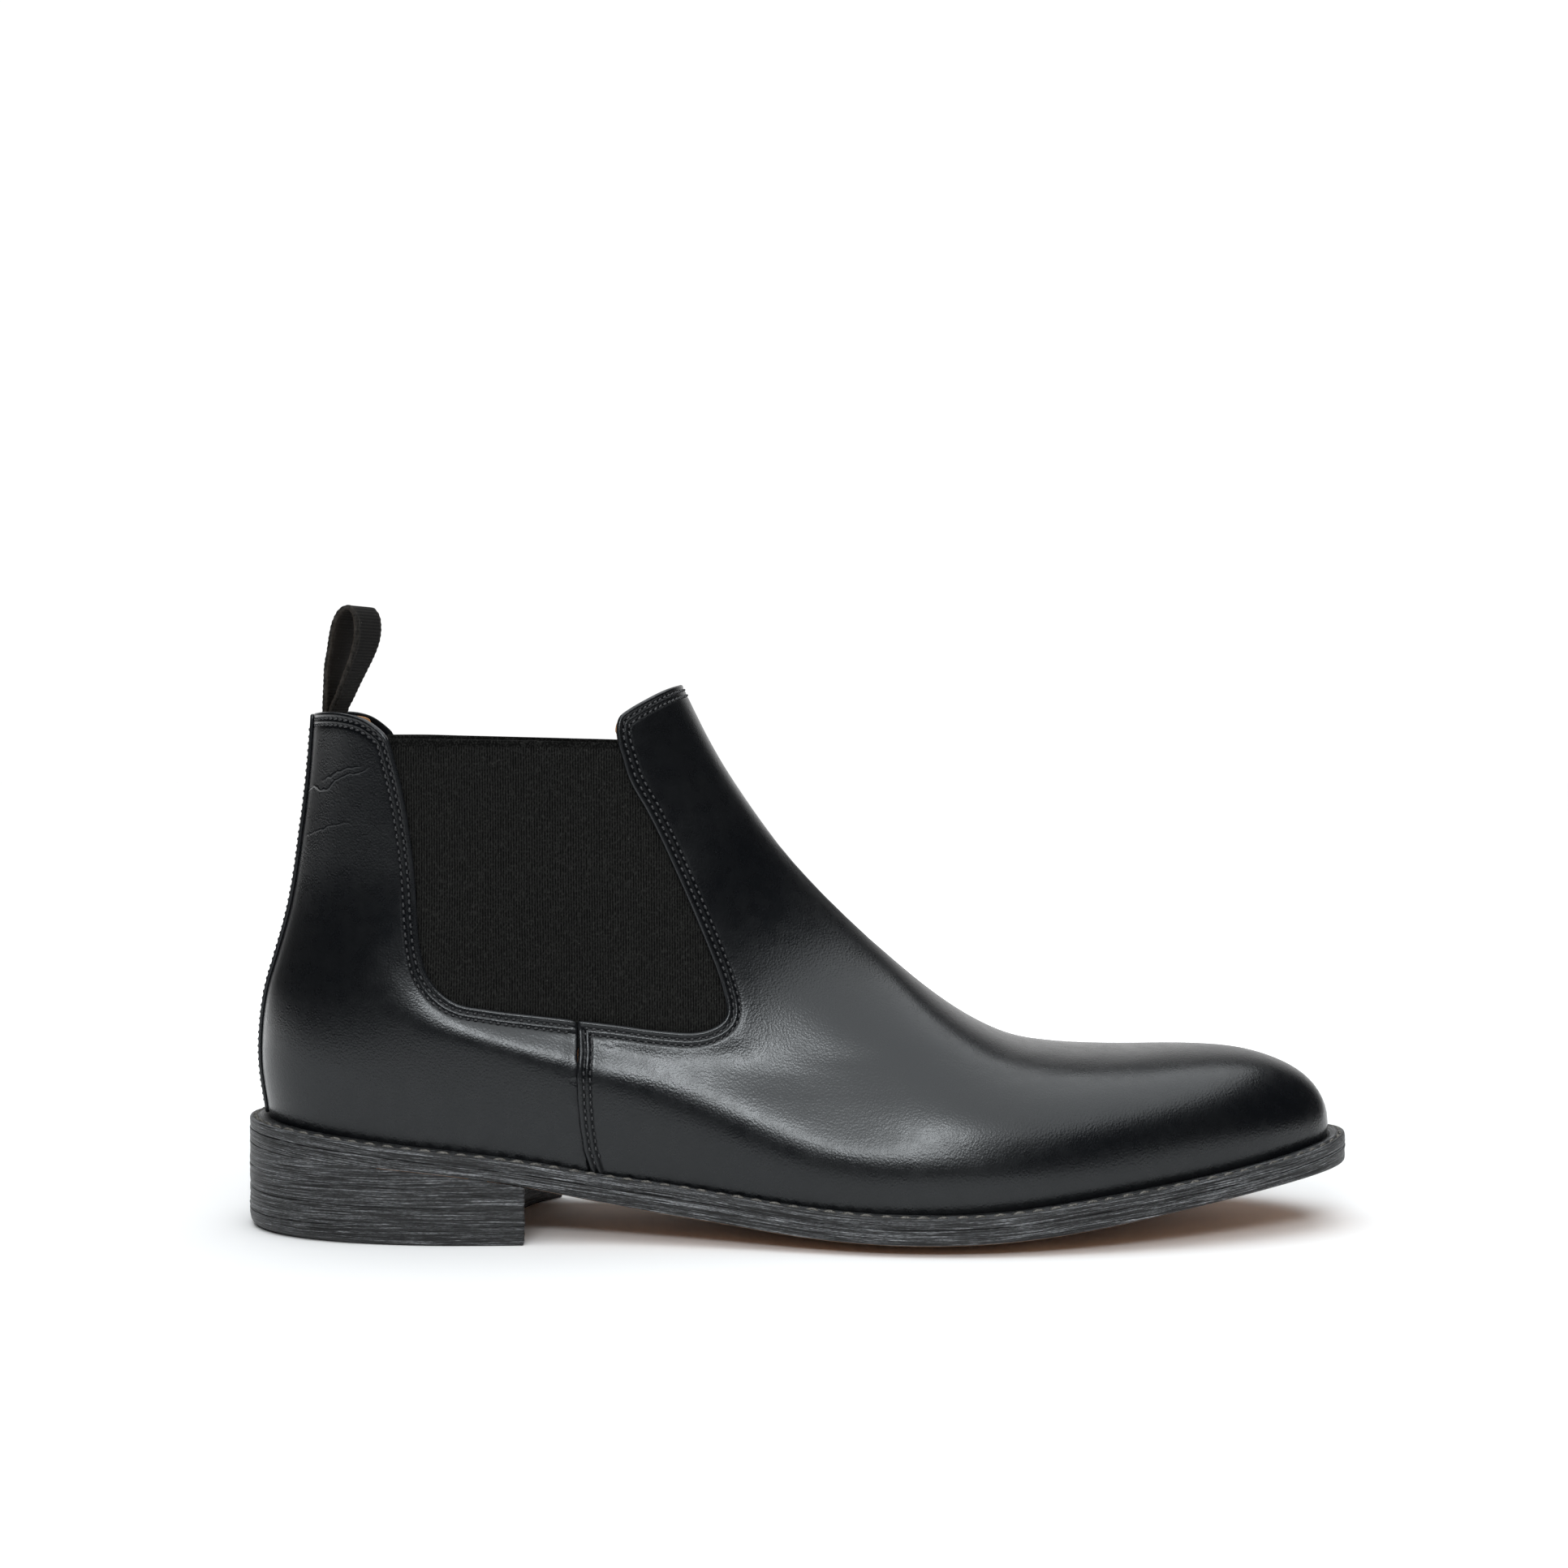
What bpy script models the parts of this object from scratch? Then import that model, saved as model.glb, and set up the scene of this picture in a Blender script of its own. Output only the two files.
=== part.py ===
"""Chelsea boot, right foot: layered leather upper with elastic gores, on a welted sole and a stacked heel.

Toe along +X, lateral side along -Y, floor at Z = 0. Tables are in millimetres; MM turns them into metres.
"""

import math

import bpy
import numpy as np
from mathutils.geometry import delaunay_2d_cdt

# ---- driving dimensions, mm ----
MM = 0.001
GAP = 0.4  # clear space between two layers
STRIP_GAP = 0.6  # the same under the back strip, where the surface turns sharply
LEATHER = 1.4
LINING = 0.9
ELASTIC = 1.1
WELT = 3.0
INSOLE = 2.5
SOCK = 1.0
CORK = 2.2
STIFFENER = 1.0
LAP = 10.0  # the vamp's cover over the quarter at the side seam
DIVE = 2.1  # how deep the quarter goes to pass under that lap
DIVE_START = 9.0  # how far behind the seam it starts to
GORE_LAP = 6.5  # the gore's margin behind the leather
STRIP_HALF = 6.5  # half of the back strip's width at its top
WELT_OUT = (5.6, 3.4, 5.2)  # the sole's margin beyond the upper: heel, waist, forefoot
TOP_PIECE = 5.0
LIFTS = 3
WEB_WIDTH, WEB_THICK = 18.0, 1.3
NAIL_HEAD, NAIL_SHAFT, NAIL_LONG = 2.2, 1.0, 9.0
CELL = 11.0  # mesh size
FLAT = 0.08  # how far a line's straight runs may leave its curve

# ---- side view (x, z) ----
RIDGE = [
    (147.4, 23), (148.2, 27), (147.9, 31), (145.8, 36), (141.9, 40.4), (135.7, 44), (125.8, 47.2),
    (112, 48.5), (92.6, 48.3), (75.4, 48.8), (60.4, 51), (49.1, 56), (37.8, 63.4), (26.4, 72.7),
    (15.1, 82.8), (3.7, 94.1), (-3.5, 102.1), (-10.1, 110.7), (-16.7, 120.2), (-21.4, 127.5),
    (-25.6, 135), (-31, 146), (-36, 156),
]  # fmt: skip
BACK = [
    (-147.2, 27), (-147.8, 33), (-148.8, 39), (-149.5, 46), (-149.4, 52.6), (-148.8, 59.4),
    (-147.6, 66.2), (-145.6, 73), (-143.6, 79.8), (-141.8, 86.6), (-140.4, 93.4), (-139.3, 100.3),
    (-138.4, 107), (-137.4, 114), (-136.5, 121), (-135.5, 131), (-134.8, 141), (-134.4, 150),
]  # fmt: skip
SOLE_TOP = [
    (-153, 30.2), (-137.6, 28.9), (-121, 27.2), (-106, 25.6), (-92, 24.2), (-83, 23.1), (-72, 21.7),
    (-60, 19.5), (-48.6, 17.8), (-37.4, 16.5), (-26, 15.1), (-14, 13.4), (-2.7, 12), (16.8, 10.4),
    (31, 10.1), (54, 10.9), (75, 13.4), (101, 16.8), (121, 19.6), (135, 21.8), (153, 25.3),
]  # fmt: skip
SOLE_BOTTOM = [
    (-153, 23.5), (-72, 15.3), (-61, 12.9), (-48.6, 10.6), (-37.4, 8.8), (-22.5, 7.0), (-14, 5.8),
    (-2.7, 4.4), (16.8, 3.1), (31, 2.9), (54, 3.7), (75, 6), (101, 10.1), (125, 13.8), (153, 17.6),
]  # fmt: skip
GORE_REAR = [
    (-110.6, 135), (-107.4, 122.9), (-105.6, 113.8), (-103.5, 97.1), (-102.5, 83.4),
    (-101.7, 77.4), (-100.3, 72.2), (-97, 67.3), (-92.6, 64.1), (-83.7, 62.1), (-71.7, 60.5),
    (-59.7, 59.1),
]  # fmt: skip
GORE_FRONT = [
    (-59.7, 59.1), (-48.8, 57.9), (-40.1, 56.8), (-34.6, 56.3), (-27.9, 56.1), (-24.1, 56.9),
    (-21, 58.5), (-19.5, 60.3), (-19.4, 62.5), (-20.4, 66.9), (-21.9, 71.8), (-23.7, 76.5),
    (-25.9, 82), (-32.4, 97.1), (-40.7, 114.7), (-45.7, 123.8), (-47.7, 130.4), (-48.8, 134),
]  # fmt: skip
GORE_CORNER = 8  # index in GORE_FRONT of the lower front corner, where the shaft's joint starts
TOP_REAR = [(-135.6, 141.3), (-130, 141.8), (-123.2, 141.4), (-117.9, 140.1), (-114.2, 138), (-110.6, 135)]
TOP_FRONT = [
    (-48.8, 134), (-49, 137.7), (-48.2, 140.8), (-46.4, 142.2), (-41.4, 145.3), (-35.7, 148.3),
    (-32.6, 149.5),
]  # fmt: skip
SEAM = [(-59.4, 58.6), (-59.1, 50.7), (-59.4, 44.6), (-59.1, 37), (-58.6, 30.9), (-57.8, 24.9), (-55.5, 13)]
PIVOT_X = 17.0  # where the shaft's joint meets the ridge

# ---- plan and widths ----
PLAN_LATERAL = [
    (-140, 16.5), (-130, 23.5), (-115, 28.5), (-95, 30.2), (-72, 30.4), (-45, 31.8), (-20, 36.4), (5, 42.5),
    (30, 46.2), (50, 46), (75, 42), (100, 34.6), (120, 26.3), (135, 17.2), (143, 9.6),
]  # fmt: skip
PLAN_MEDIAL = [
    (-140, 17.5), (-130, 25), (-115, 30), (-95, 30.6), (-72, 29.4), (-45, 27.2), (-20, 28.6), (5, 35.8),
    (30, 44.2), (50, 48.4), (65, 48.9), (85, 46.5), (105, 40.2), (120, 33.6), (135, 24.8), (143, 17.2),
]  # fmt: skip
ANKLE_HALF = [(30, 35), (50, 34.5), (70, 32.8), (85, 31.2), (100, 30.4), (120, 31), (150, 33), (160, 33.6)]
DOME = [(-150, 2.6), (-20, 2.0), (15, 1.45), (45, 1.5), (75, 1.8), (110, 2.15), (150, 2.3)]
BREAST = [(-72.7, -36), (-77.5, -20), (-80.2, -2), (-79, 12), (-74.5, 25), (-66, 37)]  # heel's front (x, y)

# ---- the loop's middle line (x, z) and how far its far edge stands forward ----
LOOP_PATH = [
    (-130.3, 143.1), (-130.4, 146), (-130.2, 151), (-129.8, 156), (-128.8, 161.5), (-126.6, 166.8),
    (-123.2, 169.6), (-119.8, 168.9), (-117.6, 165.6), (-117.2, 161), (-118.4, 156.5), (-120.8, 152.4),
    (-124.2, 148.2), (-127.0, 145.4), (-128.2, 143.1),
]  # fmt: skip
LOOP_TWIST = (1.4, 3.0)  # at the base, at the top
LOOP_PIVOT = (-129.4, 142.0)


# ---------------------------------------------------------------- curves
def spline(points, count=241):
    """Evenly spaced points on a smooth curve through the given points."""
    p = np.array(points, float)
    step = np.linalg.norm(np.diff(p, axis=0), axis=1)
    d = np.diff(p, axis=0) / step[:, None]
    w = (step[1:] / (step[1:] + step[:-1]))[:, None]
    tangent = np.vstack([d[:1], w * d[:-1] + (1 - w) * d[1:], d[-1:]])
    start = np.concatenate([[0], np.cumsum(step)])
    s = np.linspace(0, start[-1], 8 * count)
    k = np.clip(np.searchsorted(start, s, "right") - 1, 0, len(step) - 1)
    h = step[k][:, None]
    t = ((s - start[k]) / step[k])[:, None]
    fine = (
        (2 * t**3 - 3 * t**2 + 1) * p[k]
        + (t**3 - 2 * t**2 + t) * h * tangent[k]
        + (3 * t**2 - 2 * t**3) * p[k + 1]
        + (t**3 - t**2) * h * tangent[k + 1]
    )
    return resample(fine, count)


def resample(line, count):
    length = np.concatenate([[0], np.cumsum(np.linalg.norm(np.diff(line, axis=0), axis=1))])
    at = np.linspace(0, length[-1], count)
    return np.stack([np.interp(at, length, line[:, k]) for k in range(line.shape[1])], axis=1)


def blurred(values, sigma, ends="odd"):
    """A Gaussian blur along axis 0, which keeps the ends in place."""
    n = int(math.ceil(3 * sigma))
    kernel = np.exp(-0.5 * (np.arange(-n, n + 1) / sigma) ** 2)
    kernel /= kernel.sum()
    if ends == "wrap":
        padded = np.concatenate([values[-n:], values, values[:n]])
    else:
        before = 2 * values[:1] - values[n:0:-1]
        after = 2 * values[-1:] - values[-2 : -n - 2 : -1]
        padded = np.concatenate([before, values, after])
    return sum(k * padded[i : i + len(values)] for i, k in enumerate(kernel))


def table(points, sigma=6):
    """A smooth function through a table of (x, value)."""
    line = spline(points, 301)
    x = np.linspace(line[0, 0], line[-1, 0], 301)
    y = blurred(np.interp(x, line[:, 0], line[:, 1])[:, None], sigma)[:, 0]
    return lambda at: np.interp(at, x, y)


def ease(t):
    t = np.clip(t, 0, 1)
    return t * t * (3 - 2 * t)


# ---------------------------------------------------------------- the upper's outer surface
sole_top = table(SOLE_TOP)
sole_edge_bottom = table(SOLE_BOTTOM)
ridge_line = blurred(spline(RIDGE), 3)
back_line = blurred(spline(BACK), 3)
FEATHER_BACK, FEATHER_TOE = back_line[0], ridge_line[0]
feather_x = np.linspace(FEATHER_BACK[0], FEATHER_TOE[0], 241)
feather_line = np.stack([feather_x, sole_top(feather_x) - WELT], axis=1)
end_misses = [FEATHER_BACK[1] - feather_line[0, 1], FEATHER_TOE[1] - feather_line[-1, 1]]
feather_line[:, 1] += np.interp(feather_x, [feather_x[0], feather_x[-1]], end_misses)
feather_line = resample(feather_line, 241)
top_line = resample(np.array([back_line[-1], ridge_line[-1]]), 241)



def plan_table(points):
    """Half widths divided by an ellipse's, so that both ends close round."""
    return table([(x, y / math.sqrt((x - FEATHER_BACK[0]) * (FEATHER_TOE[0] - x))) for x, y in points])


lateral_half = plan_table(PLAN_LATERAL)
medial_half = plan_table(PLAN_MEDIAL)
ankle_half = table(ANKLE_HALF)
dome_power = table(DOME)


def along(line, t):
    at = np.clip(t, 0, 1) * (len(line) - 1)
    return np.stack([np.interp(at, np.arange(len(line)), line[:, k]) for k in range(line.shape[1])], axis=-1)


def side_view(u, v):
    """(x, z) at u from the back seam to the ridge and v from the feather edge to the top."""
    u, v = np.broadcast_arrays(u, v)
    f, t, b, r = along(feather_line, u), along(top_line, u), along(back_line, v), along(ridge_line, v)
    u, v = u[..., None], v[..., None]
    corners = (
        (1 - u) * (1 - v) * feather_line[0]
        + u * (1 - v) * feather_line[-1]
        + (1 - u) * v * top_line[0]
        + u * v * top_line[-1]
    )
    return (1 - v) * f + v * t + (1 - u) * b + u * r - corners


def swing(x):
    """How far the ridge stands toward the medial side."""
    return 4.0 * ease((x - 15) / 120)


def half_width(x, z, medial):
    """The surface's distance from its middle line at a point of the side view."""
    back_x = np.interp(z, back_line[:, 1], back_line[:, 0])
    order = ridge_line[:, 0].argsort()
    ridge_z = np.interp(x, ridge_line[order, 0], ridge_line[order, 1])
    ridge_z = np.where(x < -36, 156 + 0.9 * (-36 - x), ridge_z)
    foot_x = x - (back_x - FEATHER_BACK[0]) * ease((-40 - x) / 90)
    room = np.clip((foot_x - FEATHER_BACK[0]) * (FEATHER_TOE[0] - foot_x), 0, None)
    plan = (medial_half if medial else lateral_half)(foot_x) * np.sqrt(room)
    plan = np.clip(plan + (-swing(x) if medial else swing(x)), 0, None)
    low = sole_top(x) - WELT
    h = np.clip((z - low) / np.maximum(ridge_z - low, 1), 0, 1)
    bulge = 1 + 0.06 * np.sin(math.pi * np.clip(h / 0.5, 0, 1))
    foot = plan * np.sqrt(1 - h ** dome_power(x)) * bulge
    up = ridge_line[:, 1] > 50
    line = ridge_line[up]
    ridge_x = np.interp(z, line[:, 1], line[:, 0])
    s = np.clip((x - back_x) / np.maximum(ridge_x - back_x, 1), 0, 1)
    ankle = ankle_half(z) * np.sqrt(np.clip(1 - np.abs(2 * s**0.93 - 1) ** 2.3, 0, 1))
    return foot + (ankle - foot) * ease((z - 48) / 52)


ROWS, COLUMNS = 121, 240  # v rows and loop columns of the surface's grid
turn = np.arange(COLUMNS) * 2 / COLUMNS  # 0 back seam, 0 to 1 lateral, 1 ridge, 1 to 2 medial
height = np.linspace(0, 1, ROWS)


def surface_grid():
    u = (1 - np.cos(math.pi * turn)) / 2
    xz = side_view(u[:, None], height[None, :])
    grid = np.zeros((COLUMNS, ROWS, 3))
    grid[..., 0], grid[..., 2] = xz[..., 0], xz[..., 1]
    shape = np.abs(np.sin(math.pi * turn))[:, None]
    for medial in (False, True):
        side = (turn > 1) if medial else (turn < 1) & (turn > 0)
        safe = side & (shape[:, 0] > 0.12)
        raw = half_width(grid[safe, :, 0], grid[safe, :, 2], medial) / shape[safe]
        # near the ridge and the back seam both lengths vanish, so their ratio is carried on
        place = turn[safe]
        keep = side | (turn == 0) | (turn == 1)
        ratio = np.stack([np.interp(turn[keep], place, raw[:, k]) for k in range(ROWS)], axis=1)
        ratio = blurred(blurred(ratio, 2.5), 1)
        ratio = blurred(ratio.T, 2.0).T
        y = np.where(medial, 1, -1) * shape[keep] * ratio
        grid[keep, :, 1] = y + swing(grid[keep, :, 0])
    return blurred(grid, 1.5, "wrap")


grid = surface_grid()


def weights(t):
    """A cubic's weights for four neighbouring values."""
    return np.stack(
        [
            -0.5 * t**3 + t**2 - 0.5 * t,
            1.5 * t**3 - 2.5 * t**2 + 1,
            -1.5 * t**3 + 2 * t**2 + 0.5 * t,
            0.5 * t**3 - 0.5 * t**2,
        ]
    )


def point(a, v):
    """The outer surface at turn a and height v, by cubic interpolation in the grid."""
    a, v = np.broadcast_arrays(np.asarray(a, float), np.asarray(v, float))
    i, j = (a % 2) * COLUMNS / 2, np.clip(v, -0.02, 1.02) * (ROWS - 1)
    i0, j0 = np.floor(i).astype(int), np.clip(np.floor(j).astype(int), 0, ROWS - 2)
    wi, wj = weights(i - i0), weights(j - j0)
    out = np.zeros(a.shape + (3,))
    for p in range(4):
        for q in range(4):
            row = np.clip(j0 + q - 1, 0, ROWS - 1)
            over = j0 + q - 1 - row
            column = (i0 + p - 1) % COLUMNS
            next_row = np.clip(row + 1, 1, ROWS - 1)
            step = grid[column, next_row] - grid[column, next_row - 1]
            out += (wi[p] * wj[q])[..., None] * (grid[column, row] + over[..., None] * step)
    return out


def normal(a, v):
    e = 0.004
    along_loop = point(np.asarray(a) + e, v) - point(np.asarray(a) - e, v)
    up = point(a, np.asarray(v) + e) - point(a, np.asarray(v) - e)
    n = np.cross(along_loop, up)
    return n / np.linalg.norm(n, axis=-1, keepdims=True)


def under(a, v, depth):
    """A point at a depth under the outer surface."""
    return point(a, v) - normal(a, v) * np.asarray(depth)[..., None]


def locate(xz):
    """Turn and height on the lateral side of points given in the side view."""
    xz = np.asarray(xz, float).reshape(-1, 2)
    half = COLUMNS // 2
    a, v = np.meshgrid(turn[: half + 1], height, indexing="ij")
    flat = grid[: half + 1][:, :, [0, 2]].reshape(-1, 2)
    near = ((xz[:, None] - flat[None]) ** 2).sum(2).argmin(1)
    at, vt = a.ravel()[near].copy(), v.ravel()[near].copy()
    for _ in range(12):
        e = 1e-3
        lo_a, hi_a = np.clip(at - e, 1e-4, 1 - 1e-4), np.clip(at + e, 2e-4, 1 - 5e-5)
        here = point(at, vt)[:, [0, 2]]
        da = (point(hi_a, vt) - point(lo_a, vt))[:, [0, 2]] / (hi_a - lo_a)[:, None]
        dv = (point(at, vt + e) - point(at, vt - e))[:, [0, 2]] / (2 * e)
        miss = xz - here
        det = da[:, 0] * dv[:, 1] - da[:, 1] * dv[:, 0]
        det = np.where(np.abs(det) < 1e-6, 1e-6, det)
        at = np.clip(at + np.clip((miss[:, 0] * dv[:, 1] - miss[:, 1] * dv[:, 0]) / det, -0.05, 0.05), 0, 1)
        vt = np.clip(vt + np.clip((da[:, 0] * miss[:, 1] - da[:, 1] * miss[:, 0]) / det, -0.05, 0.05), 0, 1)
    return np.stack([at, vt], axis=1)


def mirrored(uv):
    """The same line on the medial side, run the other way."""
    return np.stack([2 - uv[::-1, 0], uv[::-1, 1]], axis=1)


# ---------------------------------------------------------------- meshes
def add_object(name, vertices, faces, color, rough=0.5, metal=0.0, origin=(0, 0, 0), smooth=True):
    mesh = bpy.data.meshes.new(name)
    shift = np.array(origin, float)
    mesh.from_pydata([tuple((np.array(p) - shift) * MM) for p in vertices], [], [tuple(f) for f in faces])
    mesh.validate()
    mesh.update()
    for polygon in mesh.polygons:
        polygon.use_smooth = smooth
    material = bpy.data.materials.new(name)
    material.use_nodes = True
    shader = material.node_tree.nodes["Principled BSDF"]
    shader.inputs["Base Color"].default_value = (*color, 1)
    shader.inputs["Roughness"].default_value = rough
    shader.inputs["Metallic"].default_value = metal
    mesh.materials.append(material)
    thing = bpy.data.objects.new(name, mesh)
    thing.location = tuple(shift * MM)
    bpy.context.scene.collection.objects.link(thing)
    return thing


def inside(polygon, points):
    """Which points lie inside a polygon."""
    x, y = points[:, 0:1], points[:, 1:2]
    ax, ay = polygon[:, 0], polygon[:, 1]
    bx, by = np.roll(ax, -1), np.roll(ay, -1)
    crosses = (ay > y) != (by > y)
    run = np.where(np.abs(by - ay) < 1e-12, 1e-12, by - ay)
    return (crosses & (x < (bx - ax) * (y - ay) / run + ax)).sum(1) % 2 == 1


def clearance(polygon, points):
    """The distance from points to a polygon's edge."""
    a, b = polygon, np.roll(polygon, -1, axis=0)
    ab = b - a
    t = np.clip(
        ((points[:, None] - a[None]) * ab[None]).sum(2) / np.maximum((ab**2).sum(1), 1e-12)[None], 0, 1
    )
    return np.linalg.norm(points[:, None] - (a[None] + t[..., None] * ab[None]), axis=2).min(1)


def triangulated(outline, fill):
    """Vertices and triangles of a flat outline filled with further points."""
    n = len(outline)
    points = [tuple(p) for p in outline] + [tuple(p) for p in fill]
    edges = [(k, (k + 1) % n) for k in range(n)]
    verts, _, faces, *_ = delaunay_2d_cdt(points, edges, [], 1, 1e-7)
    verts = np.array([tuple(p) for p in verts])
    tris = []
    for face in faces:
        a, b, c = (verts[k] for k in face[:3])
        area = (b[0] - a[0]) * (c[1] - a[1]) - (b[1] - a[1]) * (c[0] - a[0])
        tris.append(tuple(face) if area > 0 else tuple(reversed(face)))
    return verts, tris


def closed_sheet(name, outer, inner, tris, color, **look):
    """A closed solid between two sheets with the same triangles; outer faces along the triangles' normals."""
    n = len(outer)
    sides = {(t[k], t[(k + 1) % 3]) for t in tris for k in range(3)}
    rim = [(a, b) for a, b in sides if (b, a) not in sides]
    faces = [tuple(t) for t in tris] + [tuple(k + n for k in reversed(t)) for t in tris]
    faces += [(b, a, a + n, b + n) for a, b in sorted(rim)]
    return add_object(name, np.vstack([outer, inner]), faces, color, **look)


STRETCH = np.array([150.0, 130.0])  # turns and heights to about millimetres, for even triangles


def lattice():
    """One set of points for every panel, so that the layers' facets run parallel."""
    rows = []
    for v in np.concatenate([np.linspace(0, 0.24, 9), np.linspace(0.3, 1, 12)]):
        a = np.linspace(0, 1, 401)
        p = point(a, v)
        step = np.linalg.norm(np.diff(p, axis=0), axis=1) + 110 * np.diff(a)
        length = np.concatenate([[0], np.cumsum(step)])
        count = int(round(length[-1] / (CELL * (0.85 + 0.4 * ease(v / 0.4)))))
        at = np.interp(np.linspace(0, length[-1], count), length, a)
        rows += [(x, v) for x in at] + [(2 - x, v) for x in at[1:-1]]
    points = np.array(rows)
    return np.vstack([points, points + [2, 0], points - [2, 0]])


LATTICE = lattice()


def simpler(p, first, last):
    """The indices of the points that a line needs to stay within FLAT of its curve."""
    if last - first < 2:
        return [first]
    ab = p[last] - p[first]
    rest = p[first + 1 : last] - p[first]
    t = np.clip(rest @ ab / max(float(ab @ ab), 1e-12), 0, 1)
    away = np.linalg.norm(rest - t[:, None] * ab, axis=1)
    worst = int(away.argmax())
    if away[worst] < FLAT:
        return [first]
    return simpler(p, first, first + 1 + worst) + simpler(p, first + 1 + worst, last)


def finely(uv, size=CELL):
    """A line with the points that its shape needs, and none further apart than one mesh cell."""
    out = []
    p = point(uv[:, 0], uv[:, 1])
    uv = uv[simpler(p, 0, len(uv) - 1) + [len(uv) - 1]]
    for a, b in zip(uv[:-1], uv[1:]):
        p = point(np.array([a[0], b[0]]), np.array([a[1], b[1]]))
        parts = max(1, int(math.ceil(np.linalg.norm(p[1] - p[0]) / size)))
        out += [a + (b - a) * k / parts for k in range(parts)]
    return np.array(out + [uv[-1]])


def panel(name, lines, top, bottom, color, folds=None, size=CELL, **look):
    """A sheet of the upper bounded by lines, between two depths (numbers or functions of x, z, turn).

    Folds are points that its mesh has as well, where its depth changes quickly.
    """
    loop = np.vstack([finely(np.asarray(line), size)[:-1] for line in lines])
    flat = loop * STRETCH
    fill = LATTICE[inside(flat, LATTICE * STRETCH)]
    if folds is not None:
        away = np.linalg.norm((fill[:, None] - folds[None]) * STRETCH, axis=2).min(1)
        fill = np.vstack([fill[away > 0.3 * CELL], folds[inside(flat, folds * STRETCH)]])
        fill = fill[clearance(flat, fill * STRETCH) > 0.08 * CELL]
    else:
        fill = fill[clearance(flat, fill * STRETCH) > 0.3 * size]
    verts, tris = triangulated(flat, fill * STRETCH)
    a, v = verts[:, 0] / STRETCH[0], verts[:, 1] / STRETCH[1]
    p = point(a, v)
    depths = [d(p[:, 0], p[:, 2], a) if callable(d) else np.full(len(a), d) for d in (top, bottom)]
    return closed_sheet(name, under(a, v, depths[0]), under(a, v, depths[1]), tris, color, **look)


def between(start, end, count=40):
    """A straight run in turn and height."""
    t = np.linspace(0, 1, count)[:, None]
    return np.asarray(start) * (1 - t) + np.asarray(end) * t


def shifted(points, by):
    """A side-view line moved by a distance to its left."""
    p = np.array(points, float)
    d = np.gradient(p, axis=0)
    d /= np.linalg.norm(d, axis=1, keepdims=True)
    return p + by * np.stack([-d[:, 1], d[:, 0]], axis=1)


# ---------------------------------------------------------------- sole outlines
def loop_at(level, depth, count=160):
    """The upper's outline in plan at a height above the sole's top line, at a depth under its surface."""
    dense = np.linspace(0, 2, 721)[:-1]
    heights = np.linspace(-0.02, 0.4, 85)
    a, v = np.meshgrid(dense, heights, indexing="ij")
    p = under(a, v, np.full(a.shape, float(depth)))
    off = p[..., 2] - (sole_top(p[..., 0]) + level)
    out = np.array([[np.interp(0, off[k], p[k, :, c]) for c in range(2)] for k in range(len(dense))])
    closed = np.vstack([out, out[:1]])
    return resample(closed, count + 1)[:-1]


def grown(loop, margin):
    """A closed plan outline (run lateral side first, toward the toe) moved outward by a margin."""
    d = np.roll(loop, -1, axis=0) - np.roll(loop, 1, axis=0)
    d /= np.linalg.norm(d, axis=1, keepdims=True)
    out = np.stack([d[:, 1], -d[:, 0]], axis=1)
    return loop + out * np.asarray(margin)[..., None]


def sole_margin(x):
    heel, waist, fore = WELT_OUT
    return heel + (waist - heel) * ease((x + 95) / 50) + (fore - waist) * ease((x + 15) / 50)


feather_loop = loop_at(0.3, 0.0, 240)
sole_loop = blurred(grown(feather_loop, sole_margin(feather_loop[:, 0])), 1.2, "wrap")
sole_loop = resample(np.vstack([sole_loop, sole_loop[:1]]), 141)[:-1]


def plate(name, outline, top, bottom, color, size=13.0, **look):
    """A plate with a plan outline between two height functions of (x, y)."""
    outline = np.asarray(outline)
    lo, hi = outline.min(0), outline.max(0)
    xs, ys = np.arange(lo[0] + size / 2, hi[0], size), np.arange(lo[1] + size / 2, hi[1], size)
    points = np.array([(x, y) for x in xs for y in ys])
    points = points[inside(outline, points)]
    points = points[clearance(outline, points) > 0.35 * size] if len(points) else points
    verts, tris = triangulated(outline, points)
    sheets = [np.column_stack([verts, f(verts[:, 0], verts[:, 1])]) for f in (top, bottom)]
    return closed_sheet(name, sheets[0], sheets[1], tris, color, **look)


def above_sole(level):
    return lambda x, y: sole_top(x) + level


def tread(x, y):
    """The outsole's bottom: level with its edge all round, crowned under the waist and forefoot."""
    near = clearance(sole_loop, np.stack([x, y], axis=1))
    crown = 3.1 * ease(near / 30) * ease((x + 78) / 70)
    return np.maximum(sole_edge_bottom(x) - crown, 0)


def heel_outline(inset):
    """The heel's plan: the sole's outline behind a hollow breast."""
    breast = spline(BREAST, 15)
    loop = grown(sole_loop, np.full(len(sole_loop), -float(inset)))
    edge = np.interp(loop[:, 1], breast[:, 1], breast[:, 0])
    keep = loop[:, 0] < edge - 1.0
    first = int(np.argmax(~keep))
    count = len(loop)
    order = [(first + k) % count for k in range(count)]
    kept = np.array([loop[k] for k in order if keep[k]])
    low, high = kept[:, 1].min(), kept[:, 1].max()
    ends = kept[-1, 1], kept[0, 1]
    ys = np.linspace(ends[0], ends[1], 11)
    ys = np.clip(ys, low, high)
    front = np.stack([np.interp(ys, breast[:, 1], breast[:, 0]), ys], axis=1)
    return np.vstack([kept, front])


# ---------------------------------------------------------------- build
for thing in list(bpy.data.objects):
    bpy.data.objects.remove(thing, do_unlink=True)

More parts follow.
